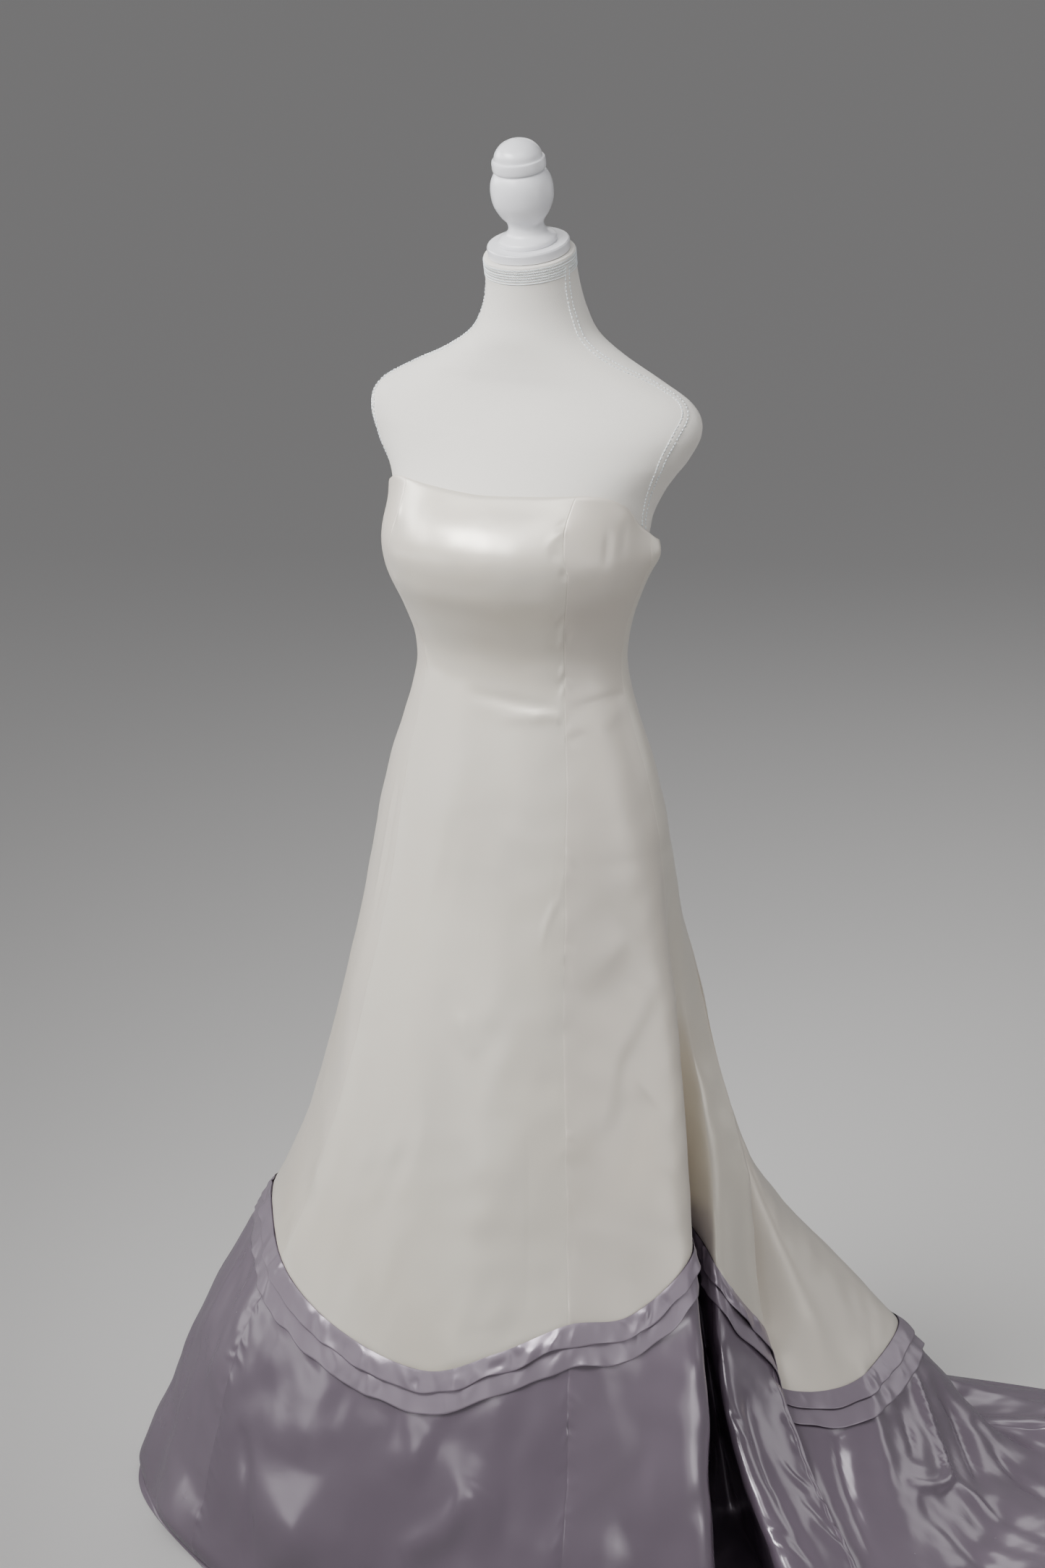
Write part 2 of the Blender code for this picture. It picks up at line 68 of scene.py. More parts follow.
RINGS = (
    # z, half_width, front, back, mid_y, tilt
    (1.4930, 0.0500, 0.0500, 0.0500, 0.0150, 14),
    (1.4620, 0.0505, 0.0510, 0.0510, 0.0215, 12),
    (1.4300, 0.0580, 0.0550, 0.0540, 0.0270, 6),
    (1.4040, 0.0740, 0.0600, 0.0560, 0.0290, 2),
    (1.3830, 0.1060, 0.0610, 0.0560, 0.0300, 0),
    (1.3610, 0.1500, 0.0610, 0.0570, 0.0290, 0),
    (1.3390, 0.1890, 0.0660, 0.0600, 0.0280, 0),
    (1.3150, 0.2020, 0.0770, 0.0650, 0.0260, 0),
    (1.2800, 0.1900, 0.0990, 0.0760, 0.0245, 0),
    (1.2400, 0.1640, 0.1270, 0.0880, 0.0165, 0),
    (1.2100, 0.1560, 0.1370, 0.0940, 0.0010, 0),
    (1.1800, 0.1560, 0.1380, 0.0960, -0.0090, 0),
    (1.1460, 0.1510, 0.1300, 0.0940, -0.0090, 0),
    (1.1040, 0.1345, 0.1100, 0.0900, -0.0060, 0),
    (1.0700, 0.1250, 0.0960, 0.0880, -0.0020, 0),
    (1.0500, 0.1215, 0.0900, 0.0880, 0.0000, 0),
    (1.0250, 0.1255, 0.0940, 0.0930, 0.0000, 0),
    (1.0000, 0.1320, 0.0980, 0.0980, 0.0000, 0),
    (0.9660, 0.1430, 0.1050, 0.1080, 0.0000, 0),
    (0.9240, 0.1570, 0.1140, 0.1200, 0.0000, 0),
    (0.8900, 0.1660, 0.1200, 0.1270, 0.0000, 0),
    (0.8500, 0.1750, 0.1270, 0.1340, 0.0000, 0),
    (0.7800, 0.1860, 0.1390, 0.1440, 0.0000, 0),
)

TOP_EDGE = (
    # degrees from centre front, z
    (0, 1.2465),
    (20, 1.2485),
    (40, 1.2495),
    (52, 1.2455),
    (66, 1.2330),
    (82, 1.2100),
    (100, 1.1930),
    (130, 1.1850),
    (180, 1.1800),
)

FOLD_COLUMNS = (
    "name edge bust hip thigh thigh_r knee knee_r shin shin_r floor floor_r hem hem_r lift seam_z columns"
).split()
FOLDS = (
    ("centre_front", 0, 0, 0, 2, 180, 5, 247, 7, 335, 8, 385, 8, 405, 3, 307, 4),
    ("front_left_soft", 20, 22, 19, 22, 182, 23, 250, 22, 340, 21, 400, 21, 420, 3, 334, 4),
    ("front_left_seam", 38, 45, 37, 42, 186, 39, 255, 36, 350, 33, 415, 33, 430, 3, 364, 3),
    ("side_front_left", 56, 60, 58, 61, 191, 54, 262, 49, 355, 47, 413, 47, 430, 3, 368, 4),
    ("side_fold_crest", 74, 76, 80, 82, 207, 71, 273, 61, 372, 57, 438, 56, 453, 3, 416, 4),
    ("side_left_seam", 90, 90, 90, 97, 172, 87, 196, 76, 255, 71, 300, 65, 389, 3, 420, 4),
    ("deep_valley", 104, 104, 100, 111, 162, 124, 181, 115, 215, 104, 257, 74, 385, 3, 362, 4),
    ("first_ridge", 120, 120, 116, 118, 188, 108, 220, 77, 306, 67, 494, 67, 519, 4, 350, 4),
    ("back_left_seam", 140, 140, 140, 129, 209, 118, 253, 97, 311, 75, 540, 75, 584, 6, 258, 3),
    ("panel_tuck", 145, 145, 145, 131, 211.5, 122, 248, 104, 294, 80, 497, 80, 547, 4, 192, 3),
    ("train_face", 150, 150, 150, 134, 216, 125, 258, 110, 368, 96, 530, 88, 760, 30, 184, 4),
    ("train_ridge", 163, 163, 163, 140, 220, 137, 254, 127, 435, 124, 600, 109, 890, 12, 190, 4),
    ("centre_back", 180, 180, 180, 152, 230, 151, 262, 139, 427, 132, 577, 120, 1020, 30, 178, 4),
    ("train_back", 193, 193, 195, 168, 220, 166, 283, 154, 405, 143, 525, 133, 820, 10, 180, 4),
    ("train_far_edge", 206, 206, 206, 183, 214, 179, 275, 167, 390, 155, 480, 151, 590, 18, 200, 4),
    ("back_valley", 217, 217, 215, 198, 207, 192, 262, 180, 370, 170, 450, 161, 520, 4, 230, 3),
    ("back_right_seam", 227, 227, 226, 211, 212, 205, 277, 195, 392, 188, 463, 184, 490, 12, 270, 3),
    ("back_soft", 238, 238, 238, 226, 205, 220, 260, 212, 362, 206, 430, 204, 450, 3, 310, 3),
    ("side_back_crest", 252, 252, 252, 241, 211, 236, 275, 230, 390, 227, 462, 226, 480, 3, 345, 3),
    ("side_right_seam", 270, 270, 270, 258, 208, 254, 264, 250, 370, 248, 440, 247, 460, 3, 362, 3),
    ("side_right_crest", 285, 284, 284, 277, 212, 274, 274, 272, 392, 271, 462, 271, 480, 3, 370, 3),
    ("side_front_right", 303, 299, 300, 298, 206, 296, 268, 295, 388, 294, 455, 294, 468, 3, 393, 4),
    ("front_right_seam", 322, 315, 323, 319, 196, 321, 262, 320, 366, 321, 406, 321, 412, 3, 366, 3),
    ("front_right_soft", 339, 337, 341, 340, 185, 342, 252, 344, 345, 346, 388, 346, 403, 3, 330, 4),
)
GORES = (
    # name, first seam, last seam
    ("front", "front_right_seam", "front_left_seam"),
    ("side_front_left", "front_left_seam", "side_left_seam"),
    ("side_back_left", "side_left_seam", "back_left_seam"),
    ("centre_back_left", "back_left_seam", "centre_back"),
    ("centre_back_right", "centre_back", "back_right_seam"),
    ("side_back_right", "back_right_seam", "side_right_seam"),
    ("side_front_right", "side_right_seam", "front_right_seam"),
)
NAMES = [row[0] for row in FOLDS]
SEAMS = sorted({NAMES.index(seam) for _, *pair in GORES for seam in pair})


# The surface


def smooth(at, values, wanted):
    """A cubic through the values whose slope at each is the mean of its neighbours' slopes."""
    step = np.diff(at)
    rise = np.diff(values) / step
    slope = np.concatenate([[rise[0]], (rise[:-1] + rise[1:]) / 2, [rise[-1]]])
    slope[1:-1][rise[:-1] * rise[1:] <= 0] = 0
    k = np.clip(np.searchsorted(at, wanted) - 1, 0, len(step) - 1)
    t = np.clip((wanted - at[k]) / step[k], 0, 1)
    h = step[k]
    return (
        values[k] * (1 + 2 * t) * (1 - t) ** 2
        + slope[k] * h * t * (1 - t) ** 2
        + values[k + 1] * t * t * (3 - 2 * t)
        - slope[k + 1] * h * t * t * (1 - t)
    )


def figure(z, degrees):
    """Points of the dressed figure at heights z: an ellipse's half with the front depth ahead of
    mid_y and one with the back depth behind it, leaning forward by tilt."""
    z, degrees = np.broadcast_arrays(np.asarray(z, float), np.asarray(degrees, float))
    table = np.array(RINGS)[::-1]
    half, front, back, mid, tilt = (smooth(table[:, 0], table[:, k], z) for k in range(1, 6))
    side, ahead = np.sin(np.radians(degrees)), np.cos(np.radians(degrees))
    x, y = half * side, -np.where(ahead > 0, front, back) * ahead
    lean = np.radians(tilt)
    return np.stack([x, mid + y * np.cos(lean), z + y * np.sin(lean)], axis=-1)


def between(p0, p1, p2, p3, t):
    """The rounded path from p1 to p2 at shares t, for the points before and after them."""
    return (
        p1
        + 0.5 * t * (p2 - p0)
        + t * t * (p0 - 2.5 * p1 + 2 * p2 - 0.5 * p3)
        + t**3 * (-0.5 * p0 + 1.5 * p1 - 1.5 * p2 + 0.5 * p3)
    )


def carried(values, q):
    """Each fold's values carried to the fold numbers q."""
    values = np.asarray(values, float)
    k = np.floor(q).astype(int)
    t = (q - k).reshape(-1, *[1] * (values.ndim - 1))
    return between(*(values[(k + m) % len(values)] for m in (-1, 0, 1, 2)), t)


def of_folds(column):
    """A named column of the table of folds, in degrees or metres."""
    k = FOLD_COLUMNS.index(column)
    values = np.array([row[k] for row in FOLDS], float)
    return values / 1000 if column.endswith(("_r", "lift", "_z")) else values


def angles(column, q):
    """A column of degrees at the fold numbers q, carried as directions so that 360 is 0."""
    turn = np.radians(of_folds(column))
    flat = carried(np.stack([np.sin(turn), np.cos(turn)], axis=1), q)
    return np.degrees(np.arctan2(flat[:, 0], flat[:, 1]))


def turned_by(start, end, share):
    """Degrees a share of the short way from start to end."""
    return start + ((end - start + 180) % 360 - 180) * share


def level(name, z, q):
    """The plan curve through the folds at one level, at the fold numbers q."""
    turn, radius = np.radians(of_folds(name)), of_folds(name + "_r")
    points = np.stack([radius * np.sin(turn), -radius * np.cos(turn), np.full(len(radius), z)], 1)
    return carried(points, q)


def lengths(path):
    """How far along its path each point is."""
    step = np.linalg.norm(np.diff(path, axis=0), axis=1)
    return np.concatenate([[0], np.cumsum(step)])


def columns_of(q):
    """For each fold number, the column's points from the top edge to the hem every 3 mm or so, how
    far down it they are, and how far down it the border's seam is."""
    edge, bust, hip = angles("edge", q), angles("bust", q), angles("hip", q)
    table = np.array(TOP_EDGE, float)
    top_z = smooth(table[:, 0], table[:, 1], np.abs(edge))
    seam_z, lift = carried(of_folds("seam_z"), q), carried(of_folds("lift"), q)
    floor, hem = level("floor", FOOT_Z, q), level("hem", CLOTH, q)
    middle = (floor + hem) / 2
    middle[:, 2] = CLOTH + lift
    levels = [figure(ABOVE_HIP_Z, hip), figure(HIP_Z, hip)]
    levels += [level("thigh", THIGH_Z, q), level("knee", KNEE_Z, q), level("shin", SHIN_Z, q)]
    levels += [floor, middle, hem]
    levels.append(2 * hem - middle)
    skirt = [
        between(*levels[k - 1 : k + 3], t) for k in range(1, len(levels) - 2) for t in np.arange(40) / 40
    ]
    skirt = np.array([*skirt, hem])
    out = []
    for i in range(len(q)):
        heights = np.linspace(top_z[i], HIP_Z, 130)[:-1]
        above = np.clip((heights - BUST_Z) / (CHEST_Z - BUST_Z), 0, 1)
        below = np.clip((WAIST_Z - heights) / (WAIST_Z - HIP_Z), 0, 1)
        upper = figure(heights, turned_by(turned_by(bust[i], edge[i], above), hip[i], below))
        loose = UNDERARM_LOOSE * np.exp(-(((abs(edge[i]) - 102) / 16) ** 2))
        upper[:, :2] *= 1 + (loose * np.exp(-(((heights - 1.178) / 0.022) ** 2)) / 0.15)[:, None]
        upper[:, :2] += (rounded(upper[:, :2]) - upper[:, :2]) * at_waist(heights)[:, None]
        path = np.concatenate([upper, skirt[:, i]])
        path[:, 2] = np.maximum(path[:, 2], CLOTH)
        path = settled(path, len(upper))
        along = lengths(path)
        at_skirt = path[len(upper) :, 2]
        k = len(upper) + int(np.argmax(at_skirt <= seam_z[i]))
        share = (path[k - 1, 2] - seam_z[i]) / max(path[k - 1, 2] - path[k, 2], 1e-9)
        out.append((path, along, along[k - 1] + share * (along[k] - along[k - 1])))
    return out


def at_waist(heights):
    """1 at the waist, easing to 0 some 80 mm above and below it."""
    return eased(1 - np.abs(heights - WAIST_Z) / 0.080)


def rounded(line, reach=9):
    """The mean of each point of a line and reach neighbours on each side of it."""
    padded = np.concatenate([line[:1].repeat(reach, 0), line, line[-1:].repeat(reach, 0)])
    total = np.cumsum(np.concatenate([np.zeros((1, 2)), padded]), axis=0)
    return (total[2 * reach + 1 :] - total[: -2 * reach - 1]) / (2 * reach + 1)


def settled(path, hip):
    """The column eased over the join of bodice and skirt, by a mean that is widest at the hip."""
    eased = path.copy()
    reach = 14
    for k in range(hip - reach, hip + reach + 1):
        span = reach + 1 - abs(k - hip)
        eased[k] = path[k - span : k + span + 1].mean(axis=0) if span else path[k]
    share = 1 - np.abs(np.arange(-reach, reach + 1)) / (reach + 1)
    part = slice(hip - reach, hip + reach + 1)
    eased[part] = path[part] + (eased[part] - path[part]) * share[:, None]
    return eased


def sampled(columns, wanted):
    """The columns' points at wanted lengths, an array (rows, columns), as (rows, columns, 3)."""
    out = np.empty((*wanted.shape, 3))
    for i, (path, along, _) in enumerate(columns):
        for k in range(3):
            out[:, i, k] = np.interp(wanted[:, i], along, path[:, k])
    return out


def normals(grid, closed=True):
    """Outward unit normals of a grid of points."""
    if closed:
        across = np.roll(grid, -1, axis=1) - np.roll(grid, 1, axis=1)
    else:
        across = np.gradient(grid, axis=1)
    out = np.cross(np.gradient(grid, axis=0), across)
    return out / np.maximum(np.linalg.norm(out, axis=2, keepdims=True), 1e-12)


# Creases, puckers and waves

CREASES = (
    # start, middle and end as fold number and length below the border's seam, half width mm, height mm
    (23.50, -0.740, 0.62, -0.729, 1.96, -0.676, 7.0, -2.0),
    (0.40, -0.716, 1.38, -0.687, 1.96, -0.668, 7.0, 1.4),
    (2.05, -0.672, 3.25, -0.667, 5.00, -0.613, 7.0, -2.1),
    (2.05, -0.655, 3.00, -0.650, 4.50, -0.600, 8.0, 1.4),
    (1.17, -0.687, 1.58, -0.681, 1.96, -0.660, 5.0, 1.0),
    (2.06, -0.637, 2.54, -0.647, 3.17, -0.643, 6.0, -1.2),
    (1.70, -0.874, 1.84, -0.871, 1.98, -0.864, 4.0, -1.4),
    (1.62, -0.885, 1.80, -0.890, 1.98, -0.893, 4.0, 1.0),
    (3.29, -0.871, 3.24, -0.862, 3.17, -0.840, 6.0, -1.2),
    (3.70, -0.880, 3.75, -0.850, 3.70, -0.815, 7.0, -1.0),
    (3.21, -0.407, 2.75, -0.400, 2.22, -0.367, 17.0, 2.0),
    (3.46, -0.327, 2.88, -0.281, 2.17, -0.176, 22.0, 3.6),
    (3.42, -0.218, 3.08, -0.192, 2.58, -0.100, 22.0, -3.3),
    (3.60, -0.120, 3.30, -0.090, 2.95, -0.040, 22.0, 2.4),
    (1.96, -0.469, 1.71, -0.458, 1.54, -0.424, 4.5, 1.2),
    (0.12, -0.394, 0.25, -0.372, 0.42, -0.340, 11.0, 1.4),
    (23.60, -0.520, 23.70, -0.430, 23.65, -0.330, 26.0, 1.5),
    (1.10, -0.560, 1.05, -0.470, 1.20, -0.360, 24.0, -1.5),
    (23.10, -0.300, 23.20, -0.200, 23.10, -0.060, 30.0, -2.4),
    (0.80, -0.260, 0.70, -0.150, 0.85, -0.030, 34.0, 2.7),
    (21.62, -0.558, 21.58, -0.480, 21.54, -0.401, 3.5, 1.0),
    (21.80, -0.560, 21.74, -0.480, 21.70, -0.360, 3.5, -1.0),
    (13.30, -0.420, 13.50, -0.200, 13.45, 0.150, 26.0, 4.5),
    (14.50, -0.460, 14.40, -0.200, 14.60, 0.160, 22.0, -3.9),
    (16.40, -0.500, 16.50, -0.250, 16.45, 0.050, 24.0, 3.0),
    (18.20, -0.450, 18.40, -0.200, 18.30, 0.100, 28.0, -3.3),
    (19.50, -0.420, 19.45, -0.200, 19.60, 0.180, 26.0, 3.3),
    (13.00, -0.800, 13.60, -0.790, 14.40, -0.780, 8.0, -1.5),
    (14.60, -0.760, 15.60, -0.770, 16.60, -0.740, 8.0, -1.7),
    (17.60, -0.690, 18.60, -0.690, 19.60, -0.660, 8.0, 1.5),
    (8.04, -0.220, 7.96, -0.110, 8.04, 0.020, 10.0, 4.0),
    (8.50, -0.220, 8.45, -0.110, 8.60, 0.010, 13.0, -3.5),
    (9.62, 0.043, 9.40, 0.115, 9.33, 0.230, 8.0, -5.0),
    (9.10, 0.050, 8.90, 0.140, 8.70, 0.280, 11.0, 3.5),
    (10.25, -0.020, 9.95, 0.070, 9.76, 0.160, 15.0, 6.0),
    (10.75, 0.020, 10.56, 0.085, 10.44, 0.145, 8.0, 7.0),
    (10.50, 0.120, 10.32, 0.158, 9.98, 0.128, 7.0, 6.5),
    (10.80, 0.070, 10.72, 0.150, 10.48, 0.200, 13.0, -9.0),
    (10.38, 0.050, 10.28, 0.095, 10.16, 0.112, 9.0, -4.5),
    (10.14, 0.122, 10.40, 0.200, 10.36, 0.350, 11.0, 9.5),
    (10.02, 0.150, 10.14, 0.240, 10.12, 0.370, 16.0, -6.5),
    (10.90, 0.150, 10.80, 0.220, 10.70, 0.320, 11.0, -5.5),
    (11.40, 0.110, 11.50, 0.300, 11.60, 0.560, 24.0, -6.0),
    (12.35, 0.080, 12.20, 0.260, 12.00, 0.420, 18.0, 6.5),
    (7.00, 0.110, 7.03, 0.220, 7.12, 0.400, 18.0, 5.5),
    (7.45, 0.110, 7.40, 0.220, 7.56, 0.370, 9.0, -4.0),
    (7.00, 0.150, 7.12, 0.166, 7.32, 0.160, 4.0, -2.0),
    (7.05, 0.172, 7.16, 0.186, 7.28, 0.181, 4.0, 1.6),
    (7.02, 0.306, 7.22, 0.296, 7.50, 0.302, 5.0, -2.2),
    (7.00, 0.328, 7.20, 0.318, 7.52, 0.326, 5.0, 2.2),
    (7.62, 0.178, 7.76, 0.200, 7.92, 0.206, 6.0, 2.6),
    (7.68, 0.226, 7.80, 0.234, 7.96, 0.250, 7.0, -2.6),
    (7.68, 0.260, 7.86, 0.272, 8.12, 0.292, 7.0, 2.6),
    (22.33, 0.180, 22.54, 0.251, 22.60, 0.325, 9.0, -5.0),
    (0.88, 0.140, 0.40, 0.176, 23.92, 0.206, 18.0, 5.5),
)

WIDE = 10.0  # half width in mm from which a crease runs on under the trim

POOLS = (
    # fold number, length up from the hem, half widths of both in fold numbers and metres, height mm
    (21.85, 0.015, 0.62, 0.085, 15.0),
    (22.95, 0.112, 0.78, 0.078, 13.0),
    (20.95, 0.050, 0.60, 0.090, 8.0),
    (0.95, 0.185, 0.32, 0.065, 8.5),
    (23.98, 0.245, 0.34, 0.050, 4.5),
    (1.10, 0.040, 0.70, 0.070, 7.0),
    (2.60, 0.060, 0.60, 0.080, 6.0),
    (3.20, 0.190, 0.50, 0.090, 5.0),
    (21.50, 0.260, 0.60, 0.080, 3.0),
    (20.20, 0.200, 0.50, 0.100, 4.0),
    (20.00, 0.090, 0.70, 0.080, 7.0),
    (18.60, 0.060, 0.60, 0.070, 7.0),
    (17.00, 0.110, 0.60, 0.080, 6.0),
    (15.60, 0.070, 0.60, 0.070, 7.0),
)

PUCKERS = (
    # seam, side of it, from and to below the border's seam, reach in fold numbers, spacing, height mm
    ("front_left_seam", -1, -0.905, -0.840, 0.22, 0.013, 1.3),
    ("front_left_seam", -1, -0.800, -0.640, 0.22, 0.012, 1.1),
    ("front_left_seam", 1, -0.760, -0.600, 0.20, 0.016, 0.9),
    ("front_left_seam", 1, -0.520, -0.020, 0.16, 0.028, 1.2),
    ("front_left_seam", -1, -0.500, -0.020, 0.12, 0.040, 0.5),
    ("front_left_seam", 1, 0.052, 0.360, 0.12, 0.017, 1.1),
    ("front_left_seam", -1, 0.052, 0.360, 0.12, 0.021, 1.0),
    ("front_right_seam", 1, -0.900, -0.560, 0.16, 0.015, 1.0),
    ("front_right_seam", -1, -0.560, -0.020, 0.14, 0.030, 0.6),
    ("front_right_seam", 1, 0.052, 0.420, 0.12, 0.019, 1.0),
    ("front_right_seam", -1, 0.052, 0.420, 0.12, 0.023, 1.0),
    ("back_left_seam", -1, 0.052, 0.420, 0.16, 0.018, 1.6),
    ("back_left_seam", 1, 0.052, 0.420, 0.14, 0.020, 1.4),
    ("back_left_seam", 1, -0.700, -0.050, 0.14, 0.030, 0.6),
    ("side_left_seam", 1, -0.880, -0.650, 0.16, 0.016, 0.6),
    ("side_right_seam", -1, -0.880, -0.040, 0.16, 0.026, 0.6),
    ("side_right_seam", 1, 0.052, 0.420, 0.14, 0.020, 1.0),
    ("back_right_seam", -1, -0.850, -0.040, 0.16, 0.026, 0.6),
    ("back_right_seam", 1, 0.052, 0.420, 0.14, 0.020, 1.0),
    ("centre_back", 1, -0.850, -0.040, 0.14, 0.020, 0.6),
    ("centre_back", -1, -0.850, -0.040, 0.14, 0.022, 0.6),
    ("centre_back", 1, 0.052, 0.600, 0.12, 0.022, 1.2),
)


def eased(share):
    """From 0 to 1 as share does, level at both ends."""
    share = np.clip(share, 0, 1)
    return share * share * (3 - 2 * share)


def pucker_rows(seed):
    """Creases drawn at random along the seams of PUCKERS, out from the seam and slanting down."""
    draw = np.random.default_rng(seed)
    rows = []
    for seam, side, first, last, reach, spacing, height in PUCKERS:
        q, at = NAMES.index(seam), first
        while at < last:
            out = reach * draw.uniform(0.5, 1.3) * side
            fall = spacing * draw.uniform(0.1, 1.1)
            width, lift = draw.uniform(2.6, 4.6), height * draw.uniform(-1.1, 1.3)
            rows.append((q - 0.10 * out, at, q + 0.45 * out, at + fall / 3, q + out, at + fall, width, lift))
            at += spacing * draw.uniform(0.6, 1.5)
    return rows


def lift_of_creases(grid, q, rows):
    """How far each crease raises the grid: its height over exp of the squared distance from its
    curve, in half widths, and less towards the curve's ends."""
    count = len(FOLDS)
    table = np.array(rows)
    at = table[:, [0, 2, 4]] % count
    columns = columns_of(at.ravel())
    wanted = np.array([[c[2] + below for c, below in zip(columns, table[:, [1, 3, 5]].ravel())]])
    points = sampled(columns, wanted)[0].reshape(-1, 3, 3)
    lift = np.zeros(grid.shape[:2])
    t = np.linspace(0, 1, 13)[:, None]
    for (start, middle, end), ends, (width, height) in zip(points, at, table[:, 6:] / 1000):
        bend = 2 * middle - (start + end) / 2
        path = start * (1 - t) ** 2 + bend * 2 * t * (1 - t) + end * t * t
        reach = 3 * width
        low, high = path.min(axis=0) - reach, path.max(axis=0) + reach
        from_middle = np.abs((q - ends[1] + count / 2) % count - count / 2)
        span = np.abs((ends - ends[1] + count / 2) % count - count / 2).max()
        near = ((grid > low) & (grid < high)).all(axis=2) & (from_middle < span + 0.5)[None, :]
        here = grid[near]
        best, share = np.full(len(here), 9.0), np.zeros(len(here))
        for k in range(len(path) - 1):
            step = path[k + 1] - path[k]
            s = np.clip((here - path[k]) @ step / (step @ step), 0, 1)
            gap = np.linalg.norm(here - path[k] - s[:, None] * step, axis=1)
            closer = gap < best
            best[closer], share[closer] = gap[closer], (k + s[closer]) / (len(path) - 1)
        lift[near] += height * np.exp(-((best / width) ** 2)) * (4 * share * (1 - share)) ** 0.7
    return lift


def lift_of_pools(q, up):
    """The swells of cloth that settles on the floor: each a cosine hump across and up."""
    lift = np.zeros(up.shape)
    count = len(FOLDS)
    for at, high, half_q, half_up, height in POOLS:
        across = np.abs((q - at + count / 2) % count - count / 2) / half_q
        away = np.abs(up - high) / half_up
        lift += height / 1000 * (1 - eased(across))[None, :] * (1 - eased(away))
    return lift


def broad_lift(grid, q, up):
    """The forms that run on under the trim: wide creases, slow waves and the pools near the floor."""
    looser = eased((1.0 - grid[..., 2]) / 0.5)
    slow = waves(grid, 0.16, 24, 1) * (0.0003 + 0.0013 * looser)
    wide = [row for row in CREASES if row[6] >= WIDE]
    return (lift_of_creases(grid, q, wide) + slow + lift_of_pools(q, up)) * eased(up / 0.030)


def waves(points, size, count, seed):
    """A soft random height of about one unit at the points: sines of random heading and length."""
    draw = np.random.default_rng(seed)
    total = np.zeros(points.shape[:-1])
    for _ in range(count):
        heading = draw.normal(size=3)
        heading *= 2 * np.pi / np.linalg.norm(heading) / (size * draw.uniform(0.7, 1.9))
        total += np.sin(points @ heading + draw.uniform(0, 2 * np.pi))
    return total / np.sqrt(count / 2)


# Surfaces and pieces

FINE = 8  # columns of the scene's surface to each of the solids'
IVORY_ROWS = 210
BORDER_ROWS = 110
SEAM_SINK = 0.0003


def fold_numbers(fine):
    """Fold numbers once round the hem, closer together beside a seam."""
    out = []
    for k, row in enumerate(FOLDS):
        t = np.arange(row[-1] * fine) / (row[-1] * fine)
        if k in SEAMS:
            t = t**1.4
        if (k + 1) % len(FOLDS) in SEAMS:
            t = 1 - (1 - t) ** 1.4
        out.append(k + t)
    return np.concatenate(out)


def mesh_piece(name, points, faces, skin, uv=None):
    """Adds a smooth mesh of these points and faces that rides on the dress's body."""
    mesh = bpy.data.meshes.new(name)
    size = faces.shape[1]
    mesh.vertices.add(len(points))
    mesh.vertices.foreach_set("co", np.ascontiguousarray(points, np.float32).ravel())
    mesh.loops.add(faces.size)
    mesh.loops.foreach_set("vertex_index", np.ascontiguousarray(faces, np.int32).ravel())
    mesh.polygons.add(len(faces))
    mesh.polygons.foreach_set("loop_start", np.arange(0, faces.size, size, dtype=np.int32))
    mesh.polygons.foreach_set("use_smooth", np.ones(len(faces), bool))
    if uv is not None:
        layer = mesh.uv_layers.new(name="cut")
        layer.data.foreach_set("uv", np.ascontiguousarray(uv[faces.ravel()], np.float32).ravel())
    mesh.update(calc_edges=True)
    mesh.validate()
    mesh.materials.append(skin)
    piece = bpy.data.objects.new(name, mesh)
    bpy.context.collection.objects.link(piece)
    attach(piece, ROOT)
    return piece


def quads(rows, columns, closed):
    """Faces of a grid of points, facing out where rows run down and columns to the wearer's left."""
    index = np.arange(rows * columns).reshape(rows, columns)
    left = index if closed else index[:, :-1]
    right = np.roll(index, -1, axis=1) if closed else index[:, 1:]
    return np.stack([left[:-1], left[1:], right[1:], right[:-1]], axis=-1).reshape(-1, 4)


def surface(name, points, closed, skin, uv=None):
    """A piece from a grid of points (rows, columns, 3)."""
    faces = quads(*points.shape[:2], closed)
    flat_uv = None if uv is None else uv.reshape(-1, 2)
    return mesh_piece(name, points.reshape(-1, 3), faces, skin, flat_uv)


def cut_uv(points):
    """Metres across from the middle column and down from the first row, along the cloth."""
    across = np.linalg.norm(np.diff(points, axis=1), axis=2)
    across = np.concatenate([np.zeros((len(points), 1)), np.cumsum(across, axis=1)], axis=1)
    across -= across[:, points.shape[1] // 2][:, None]
    down = np.linalg.norm(np.diff(points, axis=0), axis=2)
    down = np.concatenate([np.zeros((1, points.shape[1])), np.cumsum(down, axis=0)])
    return np.stack([across, -down], axis=-1)


